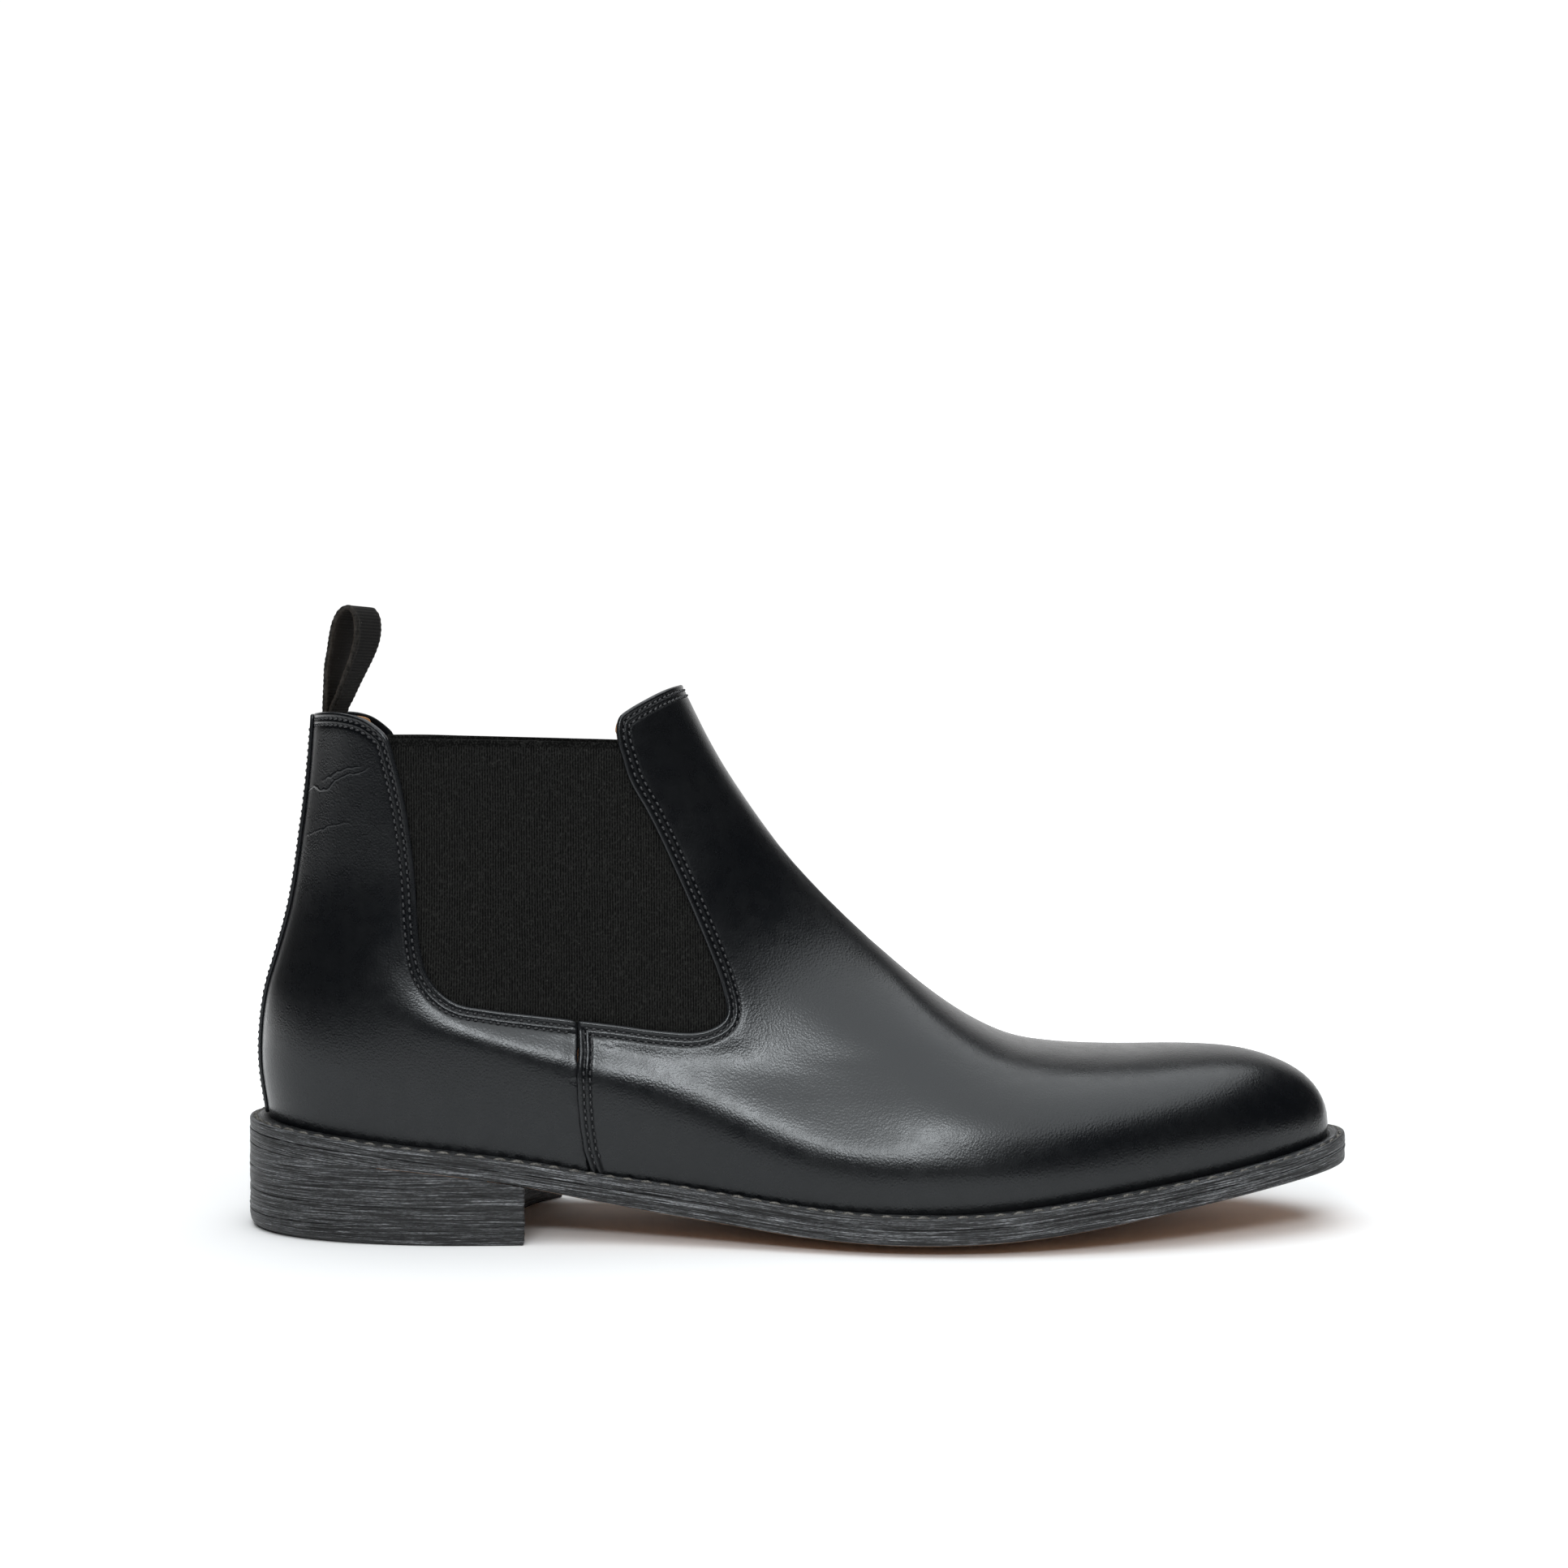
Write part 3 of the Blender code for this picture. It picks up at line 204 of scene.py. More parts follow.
def blurred(values, sigma, ends="odd"):
    """A Gaussian blur along axis 0, which keeps the ends in place."""
    n = int(math.ceil(3 * sigma))
    kernel = np.exp(-0.5 * (np.arange(-n, n + 1) / sigma) ** 2)
    kernel /= kernel.sum()
    if ends == "wrap":
        padded = np.concatenate([values[-n:], values, values[:n]])
    else:
        before = 2 * values[:1] - values[n:0:-1]
        after = 2 * values[-1:] - values[-2 : -n - 2 : -1]
        padded = np.concatenate([before, values, after])
    return sum(k * padded[i : i + len(values)] for i, k in enumerate(kernel))


def table(points, sigma=6):
    """A smooth function through a table of (x, value)."""
    line = spline(points, 301)
    x = np.linspace(line[0, 0], line[-1, 0], 301)
    y = blurred(np.interp(x, line[:, 0], line[:, 1])[:, None], sigma)[:, 0]
    return lambda at: np.interp(at, x, y)


def ease(t):
    t = np.clip(t, 0, 1)
    return t * t * (3 - 2 * t)


def bell(x, middle, width):
    return np.exp(-0.5 * ((x - middle) / width) ** 2)


# ---------------------------------------------------------------- the upper's outer surface, as in the CAD
sole_top = table(SOLE_TOP)
sole_edge_bottom = table(SOLE_BOTTOM)
ridge_line = blurred(spline(RIDGE), 3)
back_line = blurred(spline(BACK), 3)
FEATHER_BACK, FEATHER_TOE = back_line[0], ridge_line[0]
feather_x = np.linspace(FEATHER_BACK[0], FEATHER_TOE[0], 241)
feather_line = np.stack([feather_x, sole_top(feather_x) - WELT], axis=1)
end_misses = [FEATHER_BACK[1] - feather_line[0, 1], FEATHER_TOE[1] - feather_line[-1, 1]]
feather_line[:, 1] += np.interp(feather_x, [feather_x[0], feather_x[-1]], end_misses)
feather_line = resample(feather_line, 241)
top_line = resample(np.array([back_line[-1], ridge_line[-1]]), 241)


def plan_table(points):
    """Half widths divided by an ellipse's, so that both ends close round."""
    return table([(x, y / math.sqrt((x - FEATHER_BACK[0]) * (FEATHER_TOE[0] - x))) for x, y in points])


lateral_half = plan_table(PLAN_LATERAL)
medial_half = plan_table(PLAN_MEDIAL)
ankle_half = table(ANKLE_HALF)
dome_power = table(DOME)
fold_line = spline(FOLD, 201)
fold_depth = table(FOLD_DEPTH)


def along(line, t):
    return read_at(np.clip(t, 0, 1) * (len(line) - 1), np.arange(len(line)), line)


def side_view(u, v):
    """(x, z) at u from the back seam to the ridge and v from the feather edge to the top."""
    u, v = np.broadcast_arrays(u, v)
    f, t, b, r = along(feather_line, u), along(top_line, u), along(back_line, v), along(ridge_line, v)
    u, v = u[..., None], v[..., None]
    corners = bilinear(u, v, feather_line[0], feather_line[-1], top_line[0], top_line[-1])
    return (1 - v) * f + v * t + (1 - u) * b + u * r - corners


def swing(x):
    """How far the ridge stands toward the medial side."""
    return RIDGE_SWING * ease((x - 15) / 120)


def drawn_in(x, z):
    """How far the surface draws in above the fold; it comes out again higher up."""
    p = np.stack([x, z], axis=-1).reshape(-1, 1, 2)
    start, step = fold_line[:-1], np.diff(fold_line, axis=0)
    t = np.clip(((p - start) * step).sum(2) / (step**2).sum(1), 0, 1)
    off = p - start - t[..., None] * step
    near = (off**2).sum(2).argmin(1)
    off = off[np.arange(len(near)), near]
    ahead = step[near]
    above = np.sign(ahead[:, 0] * off[:, 1] - ahead[:, 1] * off[:, 0]) * np.linalg.norm(off, axis=1)
    at_x = fold_line[near, 0]
    # it draws in over the height of rise, which begins under the fold, and comes out over that of span
    rise = 12 + 8 * ease((at_x + 55) / 25) * ease((12 - at_x) / 15)
    span = 45 + 75 * ease((at_x + 50) / 30)
    depth = fold_depth(at_x) * ease((above + 5.5) / rise) * (1 - ease((above - 8) / span))
    return depth.reshape(np.shape(x))


def half_width(x, z, medial):
    """The surface's distance from its middle line at a point of the side view."""
    back_x = np.interp(z, back_line[:, 1], back_line[:, 0])
    order = ridge_line[:, 0].argsort()
    ridge_z = np.interp(x, ridge_line[order, 0], ridge_line[order, 1])
    ridge_z = np.where(x < RIDGE[-1][0], RIDGE[-1][1] + 0.9 * (RIDGE[-1][0] - x), ridge_z)
    foot_x = x - (back_x - FEATHER_BACK[0]) * ease((-40 - x) / 90)  # the heel's plan leans with the back seam
    room = np.clip((foot_x - FEATHER_BACK[0]) * (FEATHER_TOE[0] - foot_x), 0, None)
    plan = (medial_half if medial else lateral_half)(foot_x) * np.sqrt(room)
    plan = np.clip(plan + (-swing(x) if medial else swing(x)), 0, None)
    low = sole_top(x) - WELT
    h = np.clip((z - low) / np.maximum(ridge_z - low, 1), 0, 1)
    toward_toe = ease((x - 5) / 45)
    bulge = 1 + (0.06 - 0.015 * toward_toe) * np.sin(math.pi * np.clip(h / (0.5 + 0.3 * toward_toe), 0, 1))
    foot = plan * np.sqrt(1 - h ** dome_power(x)) * bulge
    line = ridge_line[ridge_line[:, 1] > 50]
    ridge_x = np.interp(z, line[:, 1], line[:, 0])
    s = np.clip((x - back_x) / np.maximum(ridge_x - back_x, 1), 0, 1)
    ankle = ankle_half(z) * np.sqrt(np.clip(1 - np.abs(2 * s**0.93 - 1) ** 2.3, 0, 1))
    width = foot + (ankle - foot) * ease((z - FOOT_TOP) / (ANKLE_LOW - FOOT_TOP))
    return np.maximum(width - drawn_in(x, z), 0.3 * width)


ROWS, COLUMNS = 121, 240  # of the surface's grid, over the height and round the boot
turn = np.arange(COLUMNS) * 2 / COLUMNS  # 0 back seam, 0 to 1 lateral, 1 ridge, 1 to 2 medial
height = np.linspace(0, 1, ROWS)


def surface_grid():
    u = (1 - np.cos(math.pi * turn)) / 2
    xz = side_view(u[:, None], height[None, :])
    grid = np.zeros((COLUMNS, ROWS, 3))
    grid[..., 0], grid[..., 2] = xz[..., 0], xz[..., 1]
    shape = np.abs(np.sin(math.pi * turn))[:, None]
    for medial in (False, True):
        side = (turn > 1) if medial else (turn < 1) & (turn > 0)
        safe = side & (shape[:, 0] > 0.12)
        raw = half_width(grid[safe, :, 0], grid[safe, :, 2], medial) / shape[safe]
        # near the ridge and the back seam both lengths vanish, so their ratio is carried on
        place = turn[safe]
        keep = side | (turn == 0) | (turn == 1)
        ratio = np.stack([np.interp(turn[keep], place, raw[:, k]) for k in range(ROWS)], axis=1)
        ratio = blurred(blurred(ratio, 2.5), 1)
        ratio = blurred(ratio.T, 2.0).T
        y = np.where(medial, 1, -1) * shape[keep] * ratio
        grid[keep, :, 1] = y + swing(grid[keep, :, 0])
    return blurred(grid, 1.5, "wrap")


grid = surface_grid()


def weights(t):
    """A cubic's weights for four neighbouring values."""
    return np.stack(
        [
            -0.5 * t**3 + t**2 - 0.5 * t,
            1.5 * t**3 - 2.5 * t**2 + 1,
            -1.5 * t**3 + 2 * t**2 + 0.5 * t,
            0.5 * t**3 - 0.5 * t**2,
        ]
    )


def point(a, v):
    """The outer surface at turn a and height v, by cubic interpolation in the grid."""
    a, v = np.broadcast_arrays(np.asarray(a, float), np.asarray(v, float))
    i, j = (a % 2) * COLUMNS / 2, np.clip(v, -0.02, 1.02) * (ROWS - 1)
    i0, j0 = np.floor(i).astype(int), np.clip(np.floor(j).astype(int), 0, ROWS - 2)
    wi, wj = weights(i - i0), weights(j - j0)
    out = np.zeros(a.shape + (3,))
    for p in range(4):
        for q in range(4):
            row = np.clip(j0 + q - 1, 0, ROWS - 1)
            over = j0 + q - 1 - row
            column = (i0 + p - 1) % COLUMNS
            next_row = np.clip(row + 1, 1, ROWS - 1)
            step = grid[column, next_row] - grid[column, next_row - 1]
            out += (wi[p] * wj[q])[..., None] * (grid[column, row] + over[..., None] * step)
    return out


def slopes(a, v):
    """How the surface moves with a and with v."""
    e = 0.004
    a, v = np.asarray(a, float), np.asarray(v, float)
    return (point(a + e, v) - point(a - e, v)) / (2 * e), (point(a, v + e) - point(a, v - e)) / (2 * e)


def normal(a, v):
    return unit(np.cross(*slopes(a, v)))


def under(a, v, depth):
    """A point at a depth under the outer surface."""
    return point(a, v) - normal(a, v) * np.asarray(depth)[..., None]


def locate(xz):
    """Turn and height on the lateral side of points given in the side view."""
    xz = np.asarray(xz, float).reshape(-1, 2)
    half = COLUMNS // 2
    a, v = np.meshgrid(turn[: half + 1], height, indexing="ij")
    flat = grid[: half + 1][:, :, [0, 2]].reshape(-1, 2)
    near = ((xz[:, None] - flat[None]) ** 2).sum(2).argmin(1)
    at, vt = a.ravel()[near].copy(), v.ravel()[near].copy()
    for _ in range(12):
        e = 1e-3
        lo_a, hi_a = np.clip(at - e, 1e-4, 1 - 1e-4), np.clip(at + e, 2e-4, 1 - 5e-5)
        here = point(at, vt)[:, [0, 2]]
        da = (point(hi_a, vt) - point(lo_a, vt))[:, [0, 2]] / (hi_a - lo_a)[:, None]
        dv = (point(at, vt + e) - point(at, vt - e))[:, [0, 2]] / (2 * e)
        miss = xz - here
        det = da[:, 0] * dv[:, 1] - da[:, 1] * dv[:, 0]
        det = np.where(np.abs(det) < 1e-6, 1e-6, det)
        at = np.clip(at + np.clip((miss[:, 0] * dv[:, 1] - miss[:, 1] * dv[:, 0]) / det, -0.05, 0.05), 0, 1)
        vt = np.clip(vt + np.clip((da[:, 0] * miss[:, 1] - da[:, 1] * miss[:, 0]) / det, -0.05, 0.05), 0, 1)
    return np.stack([at, vt], axis=1)


def to_medial(a, v):
    """The turn on the medial side, where the gore's rear edge stands further back at the top."""
    return 2 - a + 0.047 * bell(a, 0.3, 0.095) * ease((v - 0.62) / 0.25)


def mirrored(uv):
    """The same line on the medial side, run the other way."""
    return np.stack([to_medial(uv[::-1, 0], uv[::-1, 1]), uv[::-1, 1]], axis=1)


def both_sides(lines):
    return (("lateral", lines), ("medial", [mirrored(part) for part in reversed(lines)]))


def between(start, end, count=40):
    """A straight run in turn and height."""
    t = np.linspace(0, 1, count)[:, None]
    return np.asarray(start) * (1 - t) + np.asarray(end) * t


def front_outline(half):
    """The outline of a part that goes round the front, from its lateral lines up to the ridge."""
    foot = seam_line[-1, 0]
    return half + [mirrored(part) for part in reversed(half)] + [between((2 - foot, 0), (foot, 0), 200)]


def rear_outline(top, *front):
    """The outline of a side's rear part: up the back seam, along its top, down its front lines and back."""
    return [
        between((BACK_GAP, 0), (BACK_GAP, top[0, 1]), 40),
        np.vstack([[[BACK_GAP, top[0, 1]]], top[1:]]),
        np.vstack(front),
        between(front[-1][-1], (BACK_GAP, 0), 60),
    ]


def shifted(points, by):
    """A side-view line moved by a distance to its left."""
    p = np.array(points, float)
    return p + by * to_left(unit(np.gradient(p, axis=0)))


def inside(polygon, points):
    """Which points lie inside a polygon."""
    found = []
    for part in np.array_split(points, max(1, len(points) // 4000)):
        x, y = part[:, 0:1], part[:, 1:2]
        ax, ay = polygon[:, 0], polygon[:, 1]
        bx, by = np.roll(ax, -1), np.roll(ay, -1)
        run = np.where(np.abs(by - ay) < 1e-12, 1e-12, by - ay)
        crosses = ((ay > y) != (by > y)) & (x < (bx - ax) * (y - ay) / run + ax)
        found.append(crosses.sum(1) % 2 == 1)
    return np.concatenate(found)


def distance(points, lines):
    """The distance from points to the nearest of some polylines, in any number of dimensions."""
    a = np.vstack([line[:-1] for line in lines])
    ab = np.vstack([line[1:] for line in lines]) - a
    long = np.maximum((ab**2).sum(1), 1e-12)
    found = []
    for part in np.array_split(points, max(1, len(points) // 2000)):
        t = np.clip(((part[:, None] - a) * ab).sum(2) / long, 0, 1)
        found.append(np.sqrt(((part[:, None] - a - t[..., None] * ab) ** 2).sum(2).min(1)))
    return np.concatenate(found)


def triangulated(outline, fill):
    """Vertices and triangles of a flat outline filled with further points."""
    n = len(outline)
    points = [tuple(p) for p in outline] + [tuple(p) for p in fill]
    edges = [(k, (k + 1) % n) for k in range(n)]
    verts, _, faces, *_ = delaunay_2d_cdt(points, edges, [], 1, 1e-7)
    verts = np.array([tuple(p) for p in verts])
    f = np.array([face[:3] for face in faces])
    a, b, c = verts[f[:, 0]], verts[f[:, 1]], verts[f[:, 2]]
    area = (b[:, 0] - a[:, 0]) * (c[:, 1] - a[:, 1]) - (b[:, 1] - a[:, 1]) * (c[:, 0] - a[:, 0])
    f[area < 0] = f[area < 0][:, ::-1]
    return verts, f


def value_noise(points, seed, octaves=1):
    """Smooth noise of about -1 to 1 at points given in cells, in two or three dimensions."""
    rng = np.random.RandomState(seed)
    size = 61
    points = np.asarray(points, float)
    lattice_values = rng.uniform(-1, 1, (size,) * points.shape[1])
    total = np.zeros(len(points))
    for octave in range(octaves):
        p = points * 2**octave + 17.3 * octave
        low = np.floor(p).astype(int)
        t = p - low
        t = t * t * (3 - 2 * t)
        value = np.zeros(len(p))
        for corner in np.ndindex(*(2,) * p.shape[1]):
            w = np.ones(len(p))
            for k, c in enumerate(corner):
                w = w * (t[:, k] if c else 1 - t[:, k])
            cell = tuple((low[:, k] + c) % size for k, c in enumerate(corner))
            value += w * lattice_values[cell]
        total += value / 2**octave
    return total


# ---------------------------------------------------------------- meshes
def add_object(name, data):
    thing = bpy.data.objects.new(name, data)
    bpy.context.scene.collection.objects.link(thing)
    return thing


def add_mesh(name, vertices, faces, attributes=None):
    """A smooth mesh object from millimetres of the surface's frame, with point attributes in millimetres."""
    mesh = bpy.data.meshes.new(name)
    vertices = (np.asarray(vertices, float) + PLACE) * MM
    mesh.from_pydata(vertices.tolist(), [], [np.asarray(f).tolist() for f in faces])
    mesh.update()
    mesh.polygons.foreach_set("use_smooth", np.ones(len(mesh.polygons), bool))
    for key, values in (attributes or {}).items():
        values = np.asarray(values, np.float32)
        kind = "FLOAT" if values.ndim == 1 else "FLOAT_VECTOR"
        layer = mesh.attributes.new(key, kind, "POINT")
        layer.data.foreach_set("value" if kind == "FLOAT" else "vector", values.ravel())
    return add_object(name, mesh)


def strip_faces(rows, columns, closed_columns=False, closed_rows=False):
    """The quads of a grid of vertices that is stored row by row."""
    j, k = np.meshgrid(
        np.arange(rows if closed_rows else rows - 1),
        np.arange(columns if closed_columns else columns - 1),
        indexing="ij",
    )
    j, k = j.ravel(), k.ravel()
    up, right = (j + 1) % rows, (k + 1) % columns
    return np.stack([j * columns + k, j * columns + right, up * columns + right, up * columns + k], axis=1)


STRETCH = np.array([150.0, 130.0])  # turns and heights to about millimetres
SPACING = 2.1  # of a sheet's inner points, mm


def lattice():
    rows = []
    for v in np.linspace(0.004, 0.996, 118):
        a = np.linspace(0, 1, 401)
        length = lengths(point(a, v))
        at = np.interp(np.arange(SPACING * (0.25 + 0.5 * (len(rows) % 2)), length[-1], SPACING), length, a)
        rows += [(x, v) for x in at] + [(2 - x, v) for x in at]
    points = np.array(rows)
    return np.vstack([points, points + [2, 0], points - [2, 0]])


def finely(uv, size):
    """A line resampled so that its points are evenly spaced on the surface."""
    dense = np.vstack([between(a, b, 6)[:-1] for a, b in zip(uv[:-1], uv[1:])] + [uv[-1:]])
    run = lengths(point(*dense.T))
    return read_at(np.linspace(0, run[-1], max(2, int(round(run[-1] / size)) + 1)), run, dense)


def moved(uv, across, left):
    """Points moved by a distance on the surface, in the directions given by left."""
    da, dv = slopes(*uv.T)
    e, f, g = (da * da).sum(1), (da * dv).sum(1), (dv * dv).sum(1)
    x, y = (da * left).sum(1), (dv * left).sum(1)
    det = e * g - f * f
    return uv + across * np.stack([(g * x - f * y) / det, (e * y - f * x) / det], axis=1)


def rings_inside(loop, distances, softness=4.0):
    """Lines at distances inside a closed one. The directions are softened, so that no corner folds over."""
    p = point(*loop.T)
    ahead = np.roll(p, -1, axis=0) - np.roll(p, 1, axis=0)
    left = unit(blurred(unit(np.cross(normal(*loop.T), ahead)), softness, "wrap"))
    rings = [loop]
    for near, far in zip(distances[:-1], distances[1:]):
        rings.append(moved(rings[-1], far - near, left))
    return rings


RIM = (0.0, 0.06, 0.2, 0.42, 0.75)  # distances from a sheet's edge of the rows that round it
SEAM_ZONE = tuple(np.arange(1.1, 4.7, 0.35))  # and of those that carry the seams
EDGE_STEP = 0.9  # between the points of an edge
EDGE_ROUND = 0.46  # radius of a sheet's edges, of its thickness
SEAM_DIP, SEAM_WIDE = 0.24, 0.36  # how deep a row of stitches presses the leather in, and how wide


def flat_depth(depth):
    return lambda p: np.full(len(p), float(depth))


def skin(name, lines, depth, thickness, stitched=(), rows=(), spacing=1):
    """A sheet of the upper with rounded edges, between lines, at a depth under the outer surface.

    Stitched are lines that seams follow and rows the seams' distances from them: the sheet dips along them.
    """
    loop = np.vstack([finely(np.asarray(line), EDGE_STEP)[:-1] for line in lines])
    loop = blurred(loop, 0.9, "wrap")
    ahead = np.roll(loop, -1, axis=0)
    if (loop[:, 0] * ahead[:, 1] - ahead[:, 0] * loop[:, 1]).sum() < 0:
        loop = loop[::-1]
    distances = RIM + SEAM_ZONE if len(rows) else RIM + (1.5,)
    rings = rings_inside(loop, distances, 4.0 if len(rows) else 1.5)
    border = rings[-1]
    keep = LATTICE[::spacing]
    fill = keep[inside(border * STRETCH, keep * STRETCH)]
    fill = fill[distance(point(*fill.T), [closed(point(*border.T))]) > 1.0]
    flat, tris = triangulated(border * STRETCH, fill * STRETCH)
    uv = np.vstack([np.vstack(rings[:-1]), flat / STRETCH])
    n, count = len(loop), len(rings) - 1
    strips = strip_faces(count + 1, n, closed_columns=True)
    p, out = point(*uv.T), normal(*uv.T)
    away = distance(p, [closed(point(*loop.T))])
    radius = EDGE_ROUND * thickness
    rounded = rounding(radius, away)
    rounded[:n] = radius
    level = depth(p)
    dip, sewn = np.zeros(len(p)), np.zeros(len(p))
    if len(rows):
        seam_away = distance(p, [point(*line.T) for line in stitched])
        for row in rows:
            dip += SEAM_DIP * bell(seam_away, row, SEAM_WIDE)
            sewn += bell(seam_away, row, 0.34)
        # the leather swells between the rows and beside the edge
        dip -= 0.10 * bell(seam_away, sum(rows) / 2, 0.4) + 0.12 * bell(seam_away, 0.7, 0.4)
    outer = p - out * (level + rounded + dip)[:, None]
    inner = p - out * (level + thickness - rounded)[:, None]
    total = len(p)
    faces = [*strips, *(tris + count * n)]
    back = [f[::-1] + total for f in faces]
    edge = [((k + 1) % n, k, k + total, (k + 1) % n + total) for k in range(n)]
    values = {"rim": np.tile(away, 2), "sewn": np.tile(sewn, 2)}
    return add_mesh(name, np.vstack([outer, inner]), faces + back + edge, values)


def capsules(name, centres, directions, ups, spans, radii, sink, sides=6, stations=7):
    """Stitches: short threads that arch out of the material and sink into it at both ends."""
    t = np.linspace(-1, 1, stations)
    angle = np.arange(sides) * 2 * math.pi / sides
    swell = np.sqrt(np.clip(1 - np.abs(t) ** 3.0, 0.02, 1))
    arch = 1 - np.abs(t) ** 2.2
    verts, faces = [], []
    for c, d, up, long, r in zip(centres, directions, ups, spans, radii):
        side = np.cross(d, up)
        base = len(verts) * sides * stations
        middle = c + np.outer(t * long / 2, d) + np.outer((arch - 1) * (sink + r) + r * 0.35, up)
        ring = np.cos(angle)[:, None] * side + np.sin(angle)[:, None] * up
        verts.append((middle[:, None] + (swell * r)[:, None, None] * ring[None]).reshape(-1, 3))
        faces += [*(strip_faces(stations, sides, closed_columns=True)[:, ::-1] + base)]
        faces += [base + np.arange(sides), base + stations * sides - 1 - np.arange(sides)]
    return add_mesh(name, np.vstack(verts), faces)


STITCH_LEAN = math.radians(8)  # of every stitch across its row


def seam(name, paths, pitch=2.05, length=1.72, radius=0.35, seed=1, sink=0.35):
    """Rows of stitches along paths, each a pair of lines: the points, and the outward directions there."""
    rng = np.random.RandomState(seed)
    centres, directions, ups = [], [], []
    for path, out in paths:
        run = lengths(path)
        at = np.arange(pitch * 0.6, run[-1] - pitch * 0.4, pitch)
        at = at + rng.uniform(-0.06, 0.06, len(at)) * pitch
        up = unit(read_at(at, run, out))
        d = read_at(at + 0.6, run, path) - read_at(at - 0.6, run, path)
        d = unit(d - (d * up).sum(1)[:, None] * up)
        lean = STITCH_LEAN + rng.uniform(-0.05, 0.05, len(at))
        centres.append(read_at(at, run, path))
        directions.append(np.cos(lean)[:, None] * d + np.sin(lean)[:, None] * np.cross(up, d))
        ups.append(up)
    centres, directions, ups = np.vstack(centres), np.vstack(directions), np.vstack(ups)
    size = 1 + rng.uniform(-0.08, 0.08, len(centres))
    return capsules(name, centres, directions, ups, length * size, radius * size, sink)


def seam_path(line, across, depth, trim=(0.0, 0.0), sample=0.5):
    """A path on the leather at a distance to the left of a line, cut short by trim at its ends."""
    uv = finely(np.asarray(line), sample)
    p = point(*uv.T)
    left = blurred(unit(np.cross(normal(*uv.T), np.gradient(p, axis=0))), 3)
    for _ in range(4):
        uv = moved(uv, across / 4, left)
    run = lengths(p)
    uv = uv[(run >= trim[0]) & (run <= run[-1] - trim[1])]
    p, out = point(*uv.T), normal(*uv.T)
    return p - out * (depth(p) + 0.1)[:, None], out


# ---------------------------------------------------------------- the lines that bound the pieces
LATTICE = lattice()

seam_line = locate(SEAM)
seam_line[-1, 1] = 0
gore_front = locate(spline(GORE_FRONT, 81))
gore_rear = locate(spline(GORE_REAR, 61))
top_front, top_rear = locate(spline(TOP_FRONT, 25)), locate(spline(TOP_REAR, 25))
top_front[-1, 0], top_rear[0, 0] = 1.0, 0.0
seam_line[0] = gore_front[0]
seam_at = table([(p[1], p[0]) for p in reversed(SEAM)])


def sole_margin(x):
    heel, waist, fore = WELT_OUT
    return heel + (waist - heel) * ease((x + 95) / 50) + (fore - waist) * ease((x + 15) / 50)


def loop_at(level, depth, count=160):
    """The upper's outline in plan at a height above the sole's top line, at a depth under its surface."""
    dense = np.linspace(0, 2, 721)[:-1]
    heights = np.linspace(-0.02, 0.4, 85)
    a, v = np.meshgrid(dense, heights, indexing="ij")
    p = under(a, v, np.full(a.shape, float(depth)))
    off = p[..., 2] - (sole_top(p[..., 0]) + level)
    out = np.array([[np.interp(0, off[k], p[k, :, c]) for c in range(2)] for k in range(len(dense))])
    return resample(closed(out), count + 1)[:-1]


def outward(loop):
    """Unit normals of a closed plan outline that runs along the lateral side toward the toe."""
    return -to_left(unit(np.roll(loop, -1, axis=0) - np.roll(loop, 1, axis=0)))


def grown(loop, margin):
    return loop + outward(loop) * np.asarray(margin)[..., None]


feather_loop = loop_at(0.3, 0.0, 240)
sole_loop = blurred(grown(feather_loop, sole_margin(feather_loop[:, 0])), 1.2, "wrap")
sole_loop = resample(closed(sole_loop), 701)[:-1]

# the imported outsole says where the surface's frame lies in the model's
low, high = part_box("outsole")
PLACE = np.array([
    (low[0] + high[0]) / 2 / MM - (sole_loop[:, 0].min() + sole_loop[:, 0].max()) / 2,
    (low[1] + high[1]) / 2 / MM - (sole_loop[:, 1].min() + sole_loop[:, 1].max()) / 2,
    0.0,
])


def at(x, y, z):
    """A point in metres of the model's frame."""
    return tuple((np.array([x, y, z]) + PLACE) * MM)


def bends(thing):
    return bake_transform(thing)


